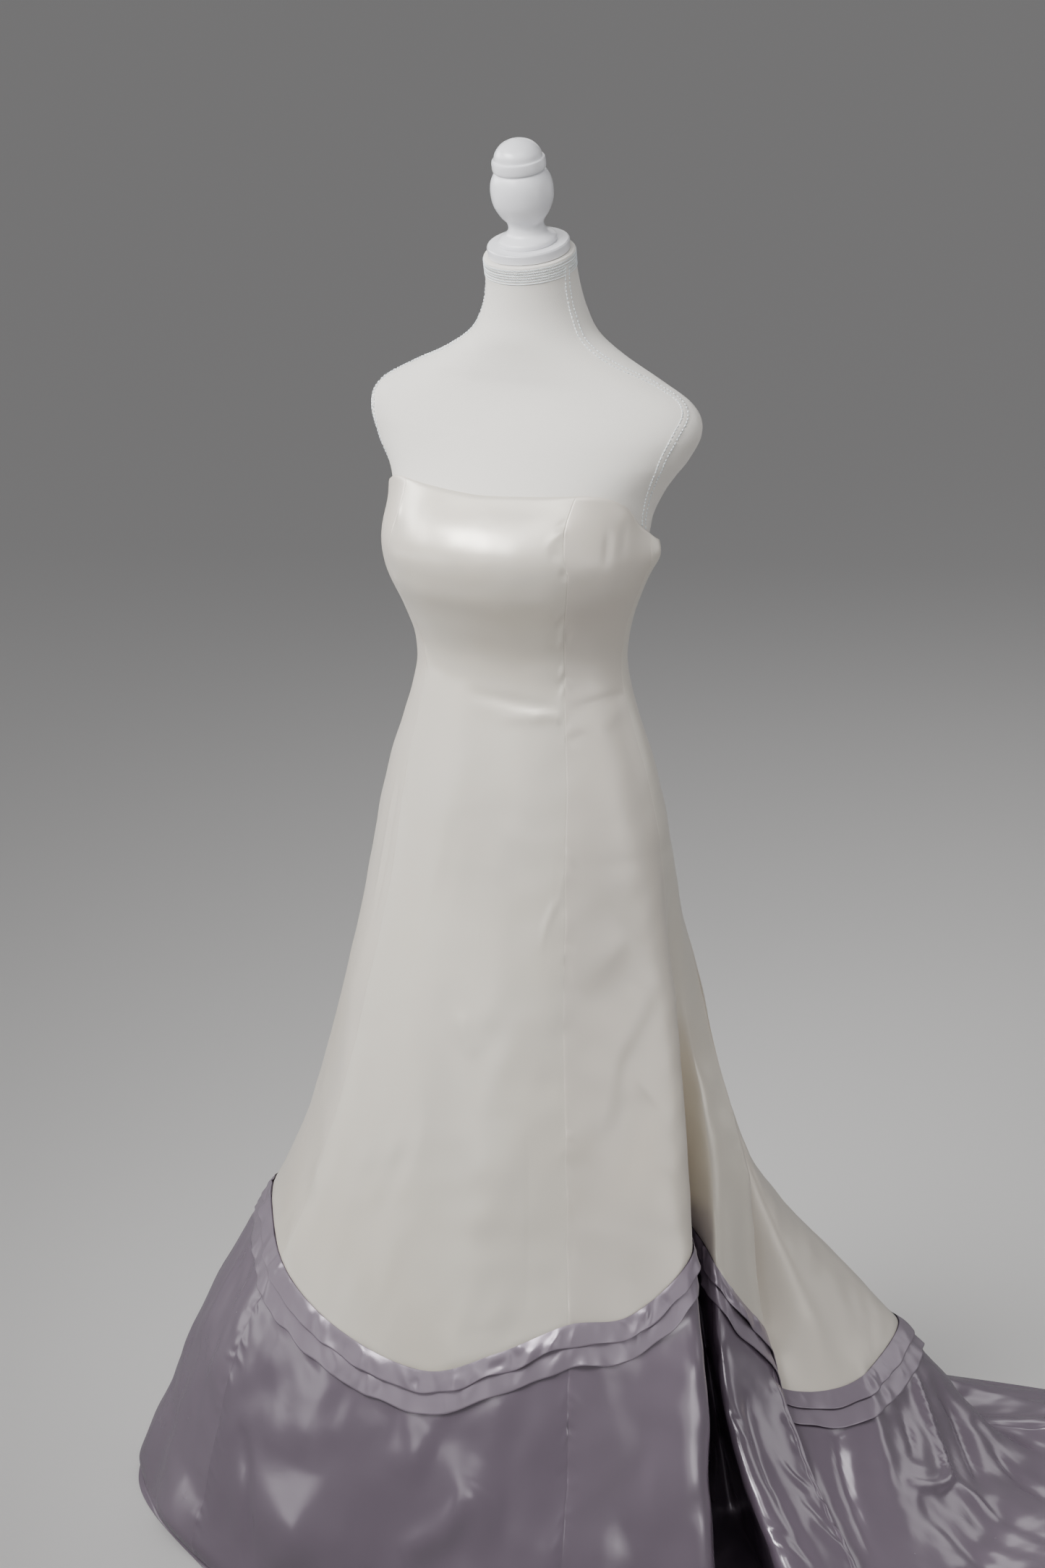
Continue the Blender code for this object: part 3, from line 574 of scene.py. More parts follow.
def dress_surface(fine):
    """The finished outer surface all round: fold numbers, points and normals."""
    q = fold_numbers(fine)
    columns = columns_of(q)
    seam = np.array([c[2] for c in columns])
    whole = np.array([c[1][-1] for c in columns])
    ivory = np.linspace(0, 1, IVORY_ROWS)[:, None] * seam
    share = np.linspace(0, 1, BORDER_ROWS)[1:, None] ** 1.1
    down = np.concatenate([ivory, seam + share * (whole - seam)])
    grid = sampled(columns, down)
    out = normals(grid)
    below, up = down - seam, whole - down
    clear = np.where(below < 0, eased(-below / 0.012), eased((below - 0.040) / 0.020))
    clear *= eased((down - 0.004) / 0.030)
    narrow = lift_of_creases(grid, q, [row for row in CREASES if row[6] < WIDE])
    puckers = lift_of_creases(grid, q, pucker_rows(7))
    looser = eased((1.0 - grid[..., 2]) / 0.5)
    soft = waves(grid, 0.045, 30, 2) * (0.00014 + 0.00020 * looser)
    satin = (below > 0) * waves(grid, 0.085, 26, 3) * 0.0009
    streaks = waves(grid * (1, 1, 0.22), 0.030, 30, 5) * np.where(below > 0, 0.00034, 0.00010)
    fine = (narrow + soft + satin + streaks) * clear + puckers * np.minimum(clear * 3, 1)
    lift = broad_lift(grid, q, up) * eased((down - 0.004) / 0.030) + fine * eased(up / 0.030)
    points = grid + out * lift[..., None]
    points[..., 2] = np.maximum(points[..., 2], CLOTH)
    return q, points, normals(points)



def rolled(points, out, edge, steps):
    """Rows that carry an edge row on by steps of (inward mm, onward mm) from it."""
    beside = points[1] if edge == 0 else points[-2]
    away = points[edge] - beside
    away /= np.linalg.norm(away, axis=-1, keepdims=True)
    rows = [points[edge] - out[edge] * i / 1000 + away * o / 1000 for i, o in steps]
    return np.array(rows)


TOP_ROLL = (
    # inward mm, onward mm from the outer edge: the turned edge, a groove and the facing's edge
    (0.15, 0.35),
    (0.55, 0.60),
    (0.95, 0.30),
    (1.20, -0.40),
    (1.35, 0.60),
    (1.60, 1.70),
    (1.95, 2.00),
    (2.25, 1.50),
    (2.35, -1.0),
    (2.35, -12.0),
)
HEM_ROLL = (
    # inward mm, onward mm
    (0.3, 0.4),
    (0.9, 0.7),
    (1.5, 0.3),
    (1.7, -0.6),
    (1.7, -20.0),
)


PAINTED_LIGHT_GORES = ("side_front", "centre_back")  # the gores given copies of the satins with painted shade on the ivory and painted light on the lavender


def declare_cut(face, rests_on):
    """Takes the cross products of the two triangles of each quad of a panel's finished face, and keeps nothing of
    them."""
    one = np.cross(face[1:, :-1] - face[:-1, :-1], face[:-1, 1:] - face[:-1, :-1])
    other = np.cross(face[1:, :-1] - face[1:, 1:], face[:-1, 1:] - face[1:, 1:])


def make_gores(skins, zip_pieces):
    """Each gore and the border under it, from the shared surface, edges sunk into the seams."""
    q, points, out = dress_surface(FINE)
    count = len(q)
    made = None
    for name, first, last in GORES:
        a = int(np.searchsorted(q, NAMES.index(first)))
        b = int(np.searchsorted(q, NAMES.index(last)))
        picked = np.arange(a, (b if b > a else b + count) + 1) % count
        face, facing = points[:, picked].copy(), out[:, picked]
        for edge, beside in ((0, 1), (-1, -2)):
            face[:, edge] -= facing[:, edge] * SEAM_SINK
            face[:, beside] -= facing[:, beside] * SEAM_SINK * 0.35
        face[..., 2] = np.maximum(face[..., 2], 0.0008)
        for kind, rows in (("gore", slice(0, IVORY_ROWS)), ("border", slice(IVORY_ROWS - 1, None))):
            part, part_out = face[rows].copy(), facing[rows]
            if kind == "gore":
                part[-1] -= part_out[-1] * 0.0004
                turned = rolled(part, part_out, 0, TOP_ROLL)[::-1]
                part = np.concatenate([turned, part])
            else:
                part[0] -= part_out[0] * 0.0004
                under = rolled(part, part_out, -1, HEM_ROLL)
                under[..., 2] = np.maximum(under[..., 2], 0.0003)
                part = np.concatenate([part, under])
            label = f"{kind}_{name}"
            # some gores take a copy of their satin: painted shade on the ivory, painted light on the lavender
            skin = skins[kind][name.startswith(PAINTED_LIGHT_GORES)]
            piece = surface(f"{label}_cloth", part, False, skin, cut_uv(part))
            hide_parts(label)
            "ivory_satin" if kind == "gore" else "lavender_satin"
            declare_cut(face[rows], ["form_torso"] if kind == "gore" else [made])
            made = piece


TRIM_FINE = 17
TIER_OVERLAP = 0.004
FRILL = (3.6, 4.9)  # fold numbers between which the trim turns out in a frill


def trim_relief(q, share, length, seed, ease):
    """How far a tier stands off, over its columns and its shares down: waves that grow towards the
    free edge, and puckers and dents across the band, bunched where the cloth was eased in."""
    draw = np.random.default_rng(seed)
    turn = 2 * np.pi * length / length[-1]
    edge, bunch = np.zeros(len(q)), np.zeros(len(q))
    for cycles in draw.integers(20, 95, 14):
        edge += np.sin(turn * cycles + draw.uniform(0, 2 * np.pi))
    for cycles in draw.integers(5, 22, 8):
        bunch += np.sin(turn * cycles + draw.uniform(0, 2 * np.pi))
    bunch = 0.35 + 0.65 * eased(0.5 + bunch / 4)
    frill = 1 + 1.8 * np.exp(-(((q - np.mean(FRILL)) / 0.45) ** 4))
    relief = 0.0009 * np.outer(share**1.8, edge / 2.6 * frill * (0.25 + bunch))
    at = 0.0
    while at < length[-1]:
        at += draw.uniform(0.003, 0.021)
        width = draw.uniform(0.0022, 0.0095)
        height = draw.uniform(0.35, 1.0) * width / 0.006
        slant, top = draw.uniform(-0.6, 0.6), draw.uniform(0.0, 0.8)
        gap = (length[None, :] - at - slant * TIER_WIDTH * share[:, None]) / width
        fade = np.exp(-(((share - top) / draw.uniform(0.22, 0.6)) ** 2))[:, None]
        sign = draw.choice([-0.7, 1.0])
        relief += ease * height * sign * np.exp(-(gap**2)) * fade * bunch
    return relief


def make_tier(name, first, last, base, seed, ease, skin):
    """A folded bias band from first to last metres below the seam: its face, its folded lower edge
    and its back, standing off by base mm at its top and bottom plus the relief."""
    q = fold_numbers(TRIM_FINE)
    columns = columns_of(q)
    seam, whole = np.array([(c[2], c[1][-1]) for c in columns]).T
    share = np.linspace(0, 1, 16)
    draw = np.random.default_rng(seed + 50)
    down = seam + first + (last - first) * share[:, None]
    face = sampled(columns, down)
    out = normals(face)
    face = face + out * broad_lift(face, q, whole - down)[..., None]
    out = normals(face)
    step = np.linalg.norm(face[8] - np.roll(face[8], 1, axis=0), axis=1)
    length = np.cumsum(step)
    wobble = sum(
        np.sin(2 * np.pi * length / length[-1] * n + draw.uniform(0, 6)) for n in draw.integers(20, 60, 8)
    )
    drop = 0.0005 * np.outer(share**2, wobble)
    away = face[-1] - face[-2]
    away /= np.linalg.norm(away, axis=1, keepdims=True)
    relief = trim_relief(q, share, length, seed, ease)
    stand = (base[0] + (base[1] - base[0]) * share[:, None] ** 0.8) / 1000
    stand = np.maximum(stand + relief, 0.0001 + 0.0010 * (base[0] > 1))
    front = face + out * (stand + TIER)[..., None] + away * drop[..., None]
    back = face + out * stand[..., None] + away * drop[..., None]
    round_edge = (front[-1] + back[-1]) / 2 + away * TIER * 0.45
    points = np.concatenate([front, [round_edge], back[::-1]])
    points[..., 2] = np.maximum(points[..., 2], 0.0005)
    piece = surface(name + "_band", points, True, skin)
    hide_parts(name)


# The dress form

FINIAL = (
    # height above the cap, radius
    (0.0000, 0.0318),
    (0.0040, 0.0318),
    (0.0070, 0.0290),
    (0.0110, 0.0225),
    (0.0175, 0.0194),
    (0.0240, 0.0205),
    (0.0320, 0.0265),
    (0.0450, 0.0325),
    (0.0590, 0.0340),
    (0.0700, 0.0325),
    (0.0780, 0.0285),
    (0.0800, 0.0265),
    (0.0825, 0.0288),
    (0.0880, 0.0292),
    (0.0930, 0.0285),
    (0.0945, 0.0262),
    (0.1000, 0.0250),
    (0.1060, 0.0210),
    (0.1105, 0.0155),
    (0.1135, 0.0080),
    (0.1150, 0.0005),
)
CAP = (
    # height, radius
    (0.0003, 0.0435),
    (0.0008, 0.0446),
    (0.0018, 0.0450),
    (0.0060, 0.0450),
    (0.0098, 0.0450),
    (0.0108, 0.0447),
    (0.0114, 0.0440),
    (0.0115, 0.0430),
    (0.0115, 0.0310),
)


def turned(name, profile, steps, around, skin, place):
    """A turned piece: its profile of (height, radius) rounded through its points, swept about Z."""
    rows = np.array(profile[::-1], float)
    full = np.array([2 * rows[0] - rows[1], *rows, 2 * rows[-1] - rows[-2]])
    path = [between(*full[k - 1 : k + 3], t) for k in range(1, len(full) - 2) for t in np.arange(steps) / steps]
    path = np.array([*path, rows[-1]])
    angle = np.linspace(0, 2 * np.pi, around, endpoint=False)
    circle = np.stack([np.sin(angle), -np.cos(angle), 0 * angle], axis=1)
    points = circle[None] * np.maximum(path[:, 1], 0.0002)[:, None, None]
    points[..., 2] = path[:, 0][:, None]
    turn = np.array(place)
    return surface(name, points @ turn[:3, :3].T + turn[:3, 3], True, skin)


def form_points(heights, degrees):
    """The form's own surface: the figure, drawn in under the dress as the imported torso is."""
    ring = figure(heights, degrees)
    centre = figure(heights[..., :1], np.array([0.0, 180.0])).mean(axis=-2, keepdims=True)
    away = (ring - centre) * (1, 1, 0)
    inset = FORM_CLEAR * np.clip((1.302 - heights) / 0.04, 0, 1)
    return ring - away / np.linalg.norm(away, axis=-1, keepdims=True) * inset[..., None]


def make_torso(skin):
    """The knit-covered torso with its rolled neck rim, from just under the cap to its underside."""
    degrees = np.linspace(0, 360, 180, endpoint=False)[None, :]
    heights = np.concatenate([np.linspace(1.4930, 1.16, 120), np.linspace(1.15, FORM_FOOT_Z, 24)])[:, None]
    heights, degrees = np.broadcast_arrays(heights, degrees)
    points = form_points(heights, degrees)
    rim = points[0].mean(axis=0)
    top = [rim + (points[0] - rim) * k for k in (0.02, 0.90, 0.95, 0.985)]
    points[0] -= (0, 0, 0.0006)
    foot = points[-1].mean(axis=0)
    bottom = [foot + (points[-1] - foot) * k for k in (0.985, 0.02)]
    points = np.concatenate([top, points, bottom])
    piece = surface("torso_knit", points, True, skin)
    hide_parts("form_torso")
    return piece


SHOULDER_SEAM = (
    # ring height, degrees from centre front: neck, over the shoulder, tip, down the arm's end
    (1.4850, 80.0),
    (1.4533, 76.0),
    (1.4223, 73.0),
    (1.3924, 68.0),
    (1.3767, 71.0),
    (1.3630, 80.0),
    (1.3480, 83.0),
    (1.3350, 78.0),
    (1.3124, 68.0),
    (1.2830, 67.5),
    (1.2462, 77.0),
    (1.2143, 86.0),
    (1.1850, 92.0),
)
STITCH = 0.0042
WELT = 0.0045  # half width of the seam's flat welt


def seam_path(table, mirrored, count):
    """Evenly spaced points, outward normals and headings along a seam on the form."""
    rows = np.array(table)
    full = np.array([2 * rows[0] - rows[1], *rows, 2 * rows[-1] - rows[-2]])
    path = [between(*full[k - 1 : k + 3], t) for k in range(1, len(full) - 2) for t in np.arange(24) / 24]
    path = np.array([*path, rows[-1]])
    degrees = -path[:, 1] if mirrored else path[:, 1]
    points = form_points(path[:, :1], degrees[:, None])[:, 0]
    nudge = 0.4
    beside = form_points(path[:, :1], degrees[:, None] + nudge)[:, 0] - points
    along = lengths(points)
    wanted = np.linspace(0, along[-1], count)
    points, beside = (np.stack([np.interp(wanted, along, a[:, k]) for k in range(3)], 1) for a in (points, beside))
    lower = np.gradient(points, axis=0)
    down = form_points(np.interp(wanted, along, path[:, 0])[:, None] - 0.001, np.interp(wanted, along, degrees)[:, None])
    down = down[:, 0] - points
    out = np.cross(down, beside)
    out /= np.linalg.norm(out, axis=1, keepdims=True)
    heading = lower / np.linalg.norm(lower, axis=1, keepdims=True)
    return points, out, heading


def beads(name, points, heading, out, size, skin):
    """Many small six-sided stitches as one mesh, each a spindle of (length, width, height)."""
    side = np.cross(out, heading)
    length, width, height = size
    shape = [(-0.5, 0, 0)]
    for at, fat in ((-0.28, 0.85), (0.28, 0.85)):
        shape += [(at, fat * np.cos(a) / 2, fat * np.sin(a) / 2) for a in np.arange(5) * 2 * np.pi / 5]
    shape.append((0.5, 0, 0))
    shape = np.array(shape)
    local = (
        shape[None, :, :1] * length * heading[:, None]
        + shape[None, :, 1:2] * width * side[:, None]
        + shape[None, :, 2:] * height * out[:, None]
    )
    verts = (points[:, None] + local).reshape(-1, 3)
    one = []
    for k in range(5):
        m = (k + 1) % 5
        one += [(0, 1 + m, 1 + k), (1 + k, 1 + m, 6 + m), (1 + k, 6 + m, 6 + k), (11, 6 + k, 6 + m)]
    faces = (np.arange(len(points))[:, None, None] * len(shape) + np.array(one)[None]).reshape(-1, 3)
    return mesh_piece(name, verts, faces, skin)


def make_seams(knit, thread):
    """The form's two shoulder and arm seams: a low welt with a row of stitches along each side."""
    for label, mirrored in (("left", False), ("right", True)):
        points, out, heading = seam_path(SHOULDER_SEAM, mirrored, 300)
        side = np.cross(out, heading)
        across = np.array([-1.0, -0.8, -0.35, 0, 0.35, 0.8, 1.0])
        rise = np.array([-0.0004, 0.0002, 0.0006, 0.0007, 0.0006, 0.0002, -0.0004])
        if mirrored:
            across = -across
        strip = points[:, None] + side[:, None] * (across * WELT)[None, :, None]
        strip = strip + out[:, None] * rise[None, :, None]
        welt = surface(f"form_seam_{label}", strip, False, knit)
        total = lengths(points)[-1]
        rows = []
        for shift in (-0.75, 0.75):
            at = np.arange(STITCH, total - STITCH, STITCH) / total * (len(points) - 1)
            k = at.astype(int)
            rows.append((points[k] + side[k] * WELT * shift + out[k] * 0.0005, heading[k], out[k]))
        spots, headings, outs = (np.concatenate(parts) for parts in zip(*rows))
        stitches = beads(f"form_seam_stitches_{label}", spots, headings, outs, (0.0036, 0.0021, 0.0016), thread)


def make_neck_band(thread):
    """Rows of zigzag stitches round the neck band, and its stitched lower edge."""
    spots, headings, outs = [], [], []
    for row, drop in enumerate((0.0035, 0.0065, 0.0095, 0.0125, 0.0155, 0.0185)):
        count = 150
        degrees = (np.arange(count) + 0.5 * (row % 2)) * 360 / count
        z = np.full(count, 1.4930 - drop)
        here = form_points(z[:, None], degrees[:, None])[:, 0]
        next_one = form_points(z[:, None], degrees[:, None] + 1)[:, 0] - here
        down = form_points(z[:, None] - 0.001, degrees[:, None])[:, 0] - here
        out = np.cross(down, next_one)
        out /= np.linalg.norm(out, axis=1, keepdims=True)
        along = next_one / np.linalg.norm(next_one, axis=1, keepdims=True)
        fall = np.cross(along, out)
        slant = 0 if row == 5 else 0.9 * (-1) ** row
        heading = along + fall * slant
        heading /= np.linalg.norm(heading, axis=1, keepdims=True)
        spots.append(here + out * 0.0003)
        headings.append(heading)
        outs.append(out)
    parts = (np.concatenate(p) for p in (spots, headings, outs))
    band = beads("neck_band_stitches", *parts, (0.0031, 0.0014, 0.0013), thread)


# The centre-back zip

ZIP_FOOT_Z = 0.90
TOOTH_PITCH = 0.0022
TOOTH = (0.0026, 0.0013, 0.0011)  # across, high, thick


def boxes(name, centres, axes, size, skin):
    """Many bevelled boxes as one mesh: their centres, three unit axes each, and sizes along them."""
    signs = np.array([(x, y, z) for x in (-1, 1) for y in (-1, 1) for z in (-1, 1)], float) / 2
    local = signs * np.asarray(size)
    verts = centres[:, None] + np.einsum("vk,nkc->nvc", local, axes)
    one = np.array([(0, 1, 3, 2), (4, 6, 7, 5), (0, 4, 5, 1), (2, 3, 7, 6), (0, 2, 6, 4), (1, 5, 7, 3)])
    faces = (np.arange(len(centres))[:, None, None] * 8 + one[None]).reshape(-1, 4)
    piece = mesh_piece(name, verts.reshape(-1, 3), faces, skin)
    piece.data.polygons.foreach_set("use_smooth", np.zeros(len(faces), bool))
    return piece


def make_zip(metal, tape):
    """Two rows of meshed teeth down the centre-back seam, and the woven tapes' edges beside them."""
    heights = np.arange(ZIP_Z + 0.014, ZIP_FOOT_Z, -TOOTH_PITCH / 2)
    centre = figure(heights, 180.0)
    down = np.gradient(centre, axis=0)
    down /= np.linalg.norm(down, axis=1, keepdims=True)
    across = np.tile((1.0, 0.0, 0.0), (len(heights), 1))
    out = np.cross(across, down)
    out *= np.sign(out[:, 1:2])
    sign = np.where(np.arange(len(heights)) % 2, 1.0, -1.0)[:, None]
    spots = centre + out * 0.0008 + across * sign * 0.0007
    axes = np.stack([across, down, out], axis=1)
    clear = np.abs(heights - ZIP_Z) > 0.0070
    teeth = boxes("zip_teeth", spots[clear], axes[clear], TOOTH, metal)
    made = [teeth]
    for label, side in (("left", 1.0), ("right", -1.0)):
        offsets = side * np.array([0.0012, 0.0030, 0.0048])
        rise = np.array([0.0003, 0.0006, 0.0002])
        strip = centre[:, None] + across[:, None] * offsets[None, :, None] + out[:, None] * rise[None, :, None]
        if side > 0:
            strip = strip[:, ::-1]
        edge = surface(f"zip_tape_{label}", strip, False, tape)
        made.append(edge)
    return made


# Materials


class Value:
    """A node's output that Python arithmetic works on, through Math nodes."""

    def __init__(self, tree, socket):
        self.tree, self.socket = tree, socket

    def math(self, operation, *values):
        node = self.tree.nodes.new("ShaderNodeMath")
        node.operation = operation
        for slot, value in zip(node.inputs, values):
            feed(self.tree, slot, value)
        return Value(self.tree, node.outputs[0])

    def __add__(self, other):
        return self.math("ADD", self, other)

    def __sub__(self, other):
        return self.math("SUBTRACT", self, other)

    def __rsub__(self, other):
        return self.math("SUBTRACT", other, self)

    def __mul__(self, other):
        return self.math("MULTIPLY", self, other)

    def __truediv__(self, other):
        return self.math("DIVIDE", self, other)

    def __pow__(self, other):
        return self.math("POWER", self, other)

    __radd__, __rmul__ = __add__, __mul__

    def between(self, low, high):
        """From 0 at low to 1 at high, level at both ends."""
        node = self.tree.nodes.new("ShaderNodeMapRange")
        node.interpolation_type = "SMOOTHSTEP"
        feed(self.tree, node.inputs["Value"], self)
        node.inputs["From Min"].default_value = low
        node.inputs["From Max"].default_value = high
        return Value(self.tree, node.outputs["Result"])


def feed(tree, slot, value):
    """Links a Value to a socket, or sets the socket to a constant."""
    if isinstance(value, Value):
        tree.links.new(value.socket, slot)
    else:
        slot.default_value = value


class Skin:
    """A Principled material: constants on its sockets, and nodes where something varies."""

    def __init__(self, name, colour, **constants):
        self.material = bpy.data.materials.new(name)
        self.material.use_nodes = True
        self.tree = self.material.node_tree
        self.shader = self.tree.nodes["Principled BSDF"]
        self.shader.inputs["Base Color"].default_value = (*colour, 1)
        for key, value in constants.items():
            self.shader.inputs[key.replace("_", " ").title().replace("Ior", "IOR")].default_value = value

    def node(self, kind, settings, output=0, **sockets):
        made = self.tree.nodes.new(kind)
        for key, value in settings.items():
            setattr(made, key, value)
        for key, value in sockets.items():
            feed(self.tree, made.inputs[key.replace("_", " ")], value)
        return Value(self.tree, made.outputs[output])

    def noise(self, place, scale, detail=2.0, roughness=0.5):
        return self.node("ShaderNodeTexNoise", {}, 0, Vector=place, Scale=scale, Detail=detail, Roughness=roughness)

    def stretched(self, place, scale):
        made = self.tree.nodes.new("ShaderNodeVectorMath")
        made.operation = "MULTIPLY"
        feed(self.tree, made.inputs[0], place)
        made.inputs[1].default_value = scale
        return Value(self.tree, made.outputs[0])

    def mixed(self, share, first, second):
        made = self.tree.nodes.new("ShaderNodeMix")
        made.data_type = "RGBA"
        feed(self.tree, made.inputs["Factor"], share)
        for slot, colour in ((made.inputs[6], first), (made.inputs[7], second)):
            feed(self.tree, slot, colour if isinstance(colour, Value) else (*colour, 1))
        return Value(self.tree, made.outputs[2])

    def set(self, socket, value):
        feed(self.tree, self.shader.inputs[socket], value)

    def bump(self, height, strength, distance):
        made = self.node("ShaderNodeBump", {}, 0, Height=height, Strength=strength, Distance=distance)
        self.set("Normal", made)


IVORY, IVORY_WARM = (0.800, 0.748, 0.655), (0.720, 0.620, 0.470)
# A darker ivory and a lighter lavender for some gores: painted shade and painted light.
IVORY_SHADED, LAVENDER_LIT = (0.765, 0.705, 0.622), (0.214, 0.168, 0.217)
LAVENDER, LAVENDER_DEEP = (0.192, 0.150, 0.196), (0.158, 0.120, 0.164)
BIAS, BIAS_DEEP = (0.310, 0.258, 0.315), (0.255, 0.205, 0.262)


def satin(name, colour, other, warp, **constants):
    """Satin: a faint slub across the cut, a soft crinkle, and a tone that clouds over the cloth."""
    skin = Skin(name, colour, **constants)
    place = skin.node("ShaderNodeTexCoord", {}, "Object")
    cut = skin.node("ShaderNodeUVMap", {"uv_map": "cut"}, 0) if warp else place
    slub = skin.noise(skin.stretched(cut, (60.0, 900.0, 60.0)), 1.0, 2.0)
    crinkle = skin.noise(place, 38.0, 2.0)
    cloud = skin.noise(place, 4.5, 3.0).between(0.45, 0.80)
    skin.set("Base Color", skin.mixed(cloud * 0.30, colour, other))
    skin.bump(slub * 0.02 + crinkle * 0.7, 0.35, 0.0013)
    skin.set("Roughness", (crinkle - 0.5) * 0.10 + constants["roughness"])
    return skin.material


def knit(name, colour):
    """Matt stretch knit: a fine vertical rib and grain."""
    skin = Skin(name, colour, roughness=0.9, sheen_weight=0.25, sheen_roughness=0.5)
    place = skin.node("ShaderNodeTexCoord", {}, "Object")
    rib = skin.noise(skin.stretched(place, (1600.0, 1600.0, 500.0)), 1.0, 1.0)
    grain = skin.noise(place, 900.0, 2.0)
    cloud = skin.noise(place, 6.0, 2.0).between(0.4, 0.8)
    darker = tuple(c * 0.94 for c in colour)
    skin.set("Base Color", skin.mixed(cloud * 0.5 + (grain - 0.5) * 0.4, colour, darker))
    skin.bump(rib + grain, 0.45, 0.0005)
    return skin.material


def paint(name, colour, **constants):
    """White paint with a faint unevenness in its gloss."""
    skin = Skin(name, colour, **constants)
    place = skin.node("ShaderNodeTexCoord", {}, "Object")
    skin.set("Roughness", (skin.noise(place, 40.0, 2.0) - 0.5) * 0.08 + constants["roughness"])
    return skin.material


def metal(name, colour):
    skin = Skin(name, colour, roughness=0.28, metallic=1.0)
    place = skin.node("ShaderNodeTexCoord", {}, "Object")
    skin.set("Roughness", (skin.noise(place, 300.0, 2.0) - 0.5) * 0.15 + 0.28)
    return skin.material


# Camera, lights and floor

CAMERA = (1.690, -3.179, 2.0)
CAMERA_DOWN, CAMERA_ROUND = radians(17.06), radians(28)
LENS = 114.93


def area_light(name, place, target, size, power, spread=180):
    """A softbox that shines from its place at the target, in a cone of spread degrees."""
    data = bpy.data.lights.new(name, "AREA")
    data.shape, data.size, data.size_y = "RECTANGLE", *size
    data.energy, data.spread = power, radians(spread)
    lamp = bpy.data.objects.new(name, data)
    lamp.location = place
    lamp.visible_camera = False
    lamp.rotation_euler = (Vector(place) - Vector(target)).to_track_quat("Z", "Y").to_euler()
    bpy.context.collection.objects.link(lamp)


def make_stage():
    """The camera at the photograph's angle, soft lights, and a pale floor."""
    data = bpy.data.cameras.new("camera")
    data.lens, data.sensor_width, data.sensor_fit = LENS, 36.0, "HORIZONTAL"
    camera = bpy.data.objects.new("camera", data)
    camera.location = CAMERA
    camera.rotation_euler = (radians(90) - CAMERA_DOWN, 0, CAMERA_ROUND)
    bpy.context.collection.objects.link(camera)
    bpy.context.scene.camera = camera
    area_light("key", (-0.8, -1.7, 2.75), (0, -0.1, 1.28), (2.2, 0.6), 18, 64)
    area_light("key_left", (-2.4, -0.3, 2.3), (0, -0.1, 1.20), (2.2, 0.6), 7, 70)
    area_light("overhead", (0.7, -1.2, 2.9), (0.1, 0, 1.3), (1.4, 0.8), 4, 80)
    area_light("low_front", (-0.5, -3.9, 1.60), (0.1, -0.3, 0.3), (1.2, 0.6), 3.6)
    area_light("low_left", (-2.9, -2.5, 0.80), (-0.1, -0.3, 0.15), (1.8, 0.7), 5.5)
    area_light("left", (-3.3, -0.5, 0.38), (-0.3, -0.2, 0.1), (1.8, 0.55), 4.5)
    area_light("fill", (3.2, -1.2, 1.6), (0, 0, 0.8), (1.5, 2.2), 6)
    area_light("right", (2.7, -0.3, 0.9), (0.30, 0, 0.15), (1.0, 0.8), 5)
    area_light("back", (-1.2, 3.0, 2.8), (0, 0, 0.8), (2.0, 1.6), 13)
    area_light("back_left", (2.3, 3.0, 1.5), (0.4, 0.1, 0.2), (2.4, 1.2), 9)
    data = bpy.data.lights.new("daylight", "SUN")
    data.angle, data.energy = radians(28), 0.22
    sun = bpy.data.objects.new("daylight", data)
    sun.rotation_euler = (Vector((-1.0, -1.4, 2.2))).to_track_quat("Z", "Y").to_euler()
    bpy.context.collection.objects.link(sun)
    world = bpy.data.worlds.new("studio")
    world.use_nodes = True
    world.node_tree.nodes["Background"].inputs["Color"].default_value = (0.80, 0.80, 0.82, 1)
    world.node_tree.nodes["Background"].inputs["Strength"].default_value = 0.26
    bpy.context.scene.world = world
    mesh = bpy.data.meshes.new("floor")
    reach = 40.0
    mesh.from_pydata([(-reach, -reach, 0), (reach, -reach, 0), (reach, reach, 0), (-reach, reach, 0)], [], [(0, 1, 2, 3)])
    floor = bpy.data.objects.new("floor", mesh)
    floor.location.z = -0.0006
    floor.visible_glossy = False
    bpy.context.collection.objects.link(floor)
    pale = Skin("floor", (0.66, 0.65, 0.64), roughness=0.85)
    mesh.materials.append(pale.material)


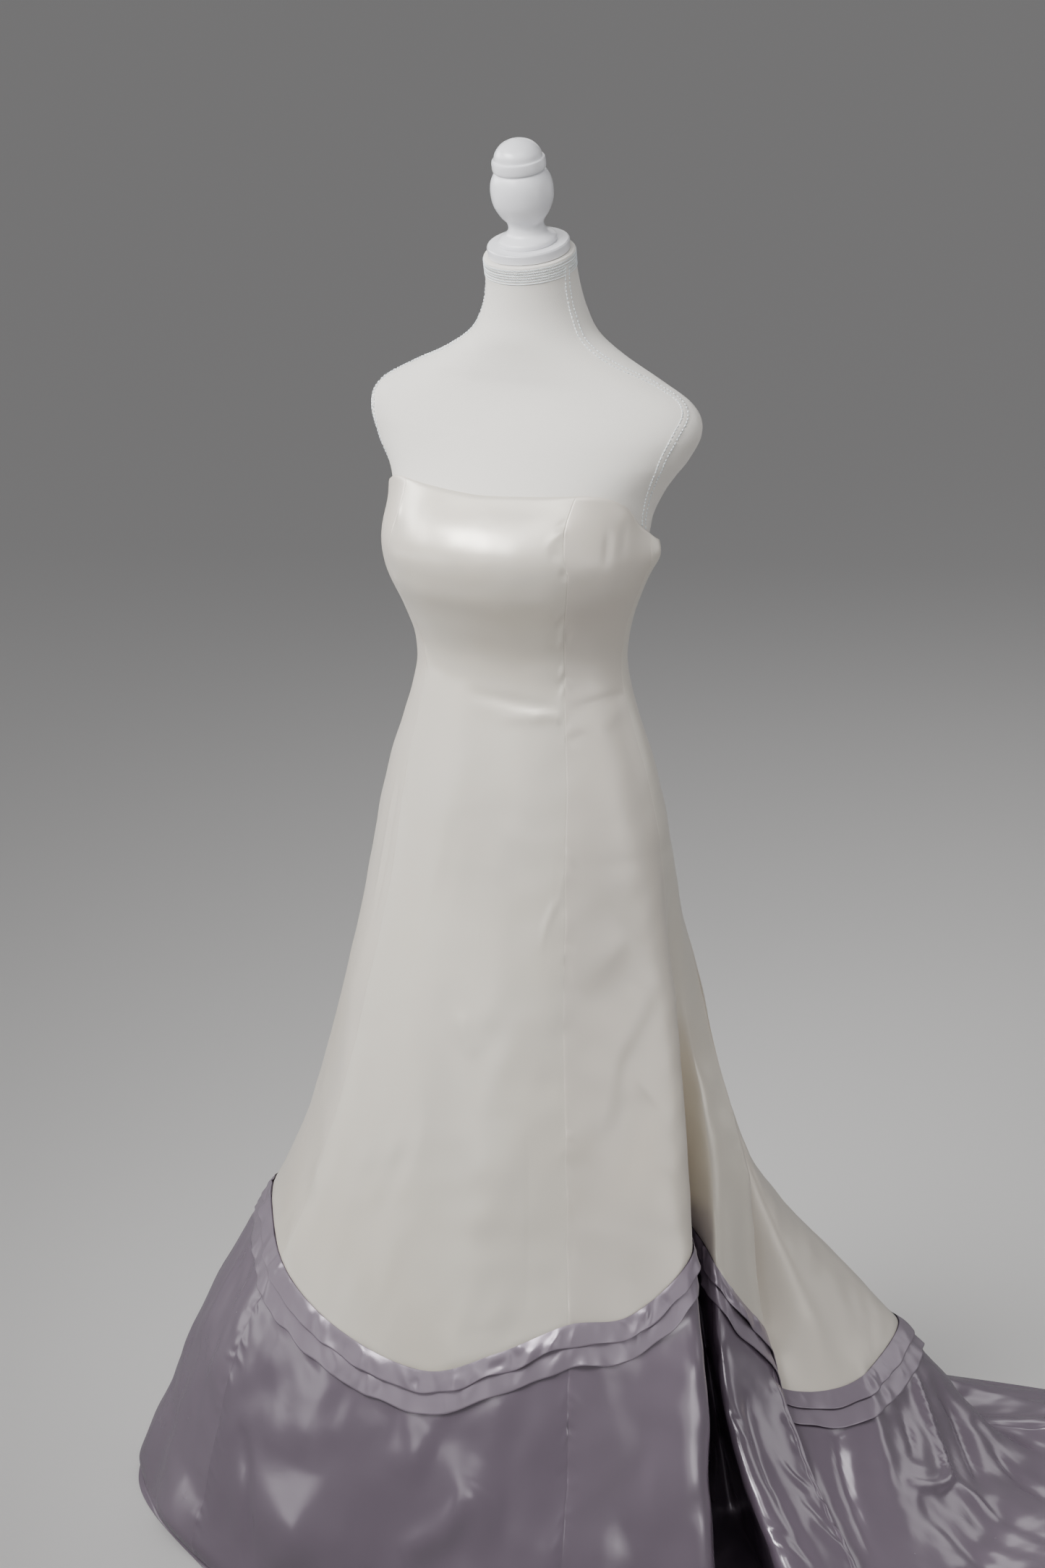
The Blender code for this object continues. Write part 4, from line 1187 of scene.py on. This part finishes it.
ivory = satin("ivory_satin", IVORY, IVORY_WARM, True, roughness=0.34, metallic=0.26, ior=1.6, sheen_weight=0.10)
# The second ivory satin is darker and the second lavender satin lighter: painted shade and painted light for some
# gores.
ivory_shaded = satin(
    "ivory_satin_painted_shade", IVORY_SHADED, IVORY_WARM, True, roughness=0.39, metallic=0.26, ior=1.6, sheen_weight=0.10
)
lavender_lit = satin(
    "lavender_satin_painted_light", LAVENDER_LIT, LAVENDER_DEEP, True, roughness=0.25, metallic=0.26, ior=2.3
)
lavender = satin("lavender_satin", LAVENDER, LAVENDER_DEEP, True, roughness=0.24, metallic=0.26, ior=2.3)
band = satin("lavender_band", BIAS, BIAS_DEEP, False, roughness=0.33, metallic=0.42, ior=1.9)
form_knit = knit("form_knit", (0.78, 0.75, 0.695))
thread = Skin("stitch_thread", (0.78, 0.83, 0.85), roughness=0.45).material
white = paint("white_paint", (0.80, 0.80, 0.83), roughness=0.25, coat_weight=0.3)
powder = paint("white_powder_coat", (0.84, 0.84, 0.84), roughness=0.42)
nickel = metal("nickel", (0.80, 0.79, 0.76))

make_gores({"gore": (ivory, ivory_shaded), "border": (lavender, lavender_lit)}, make_zip(nickel, ivory))
make_tier("trim_upper", 0.0, TIER_WIDTH, (0.5, 3.6), 21, 0.0026, band)
make_tier("trim_lower", TIER_WIDTH - TIER_OVERLAP, 2 * TIER_WIDTH, (0.1, 2.2), 22, 0.0014, band)
make_torso(form_knit)
make_seams(form_knit, thread)
make_neck_band(thread)
rim = figure(RINGS[0][0], np.linspace(0, 360, 36, endpoint=False)).mean(axis=0)
neck = Matrix.Translation(rim) @ Matrix.Rotation(NECK_LEAN, 4, "X")
cap = turned("neck_cap_painted", CAP, 3, 96, white, neck)
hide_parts("form_neck_cap")
knob = turned(
    "finial_painted", FINIAL, 6, 72, white, neck @ Matrix.Translation((0, 0, CAP_HEIGHT + SEAM_GAP))
)
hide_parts("form_finial")
for node, skin in (("form_pole", powder), ("form_foot", powder), ("zip_slider", nickel), ("zip_pull", nickel)):
    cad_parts[node].data.materials.clear()
    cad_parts[node].data.materials.append(skin)

make_stage()
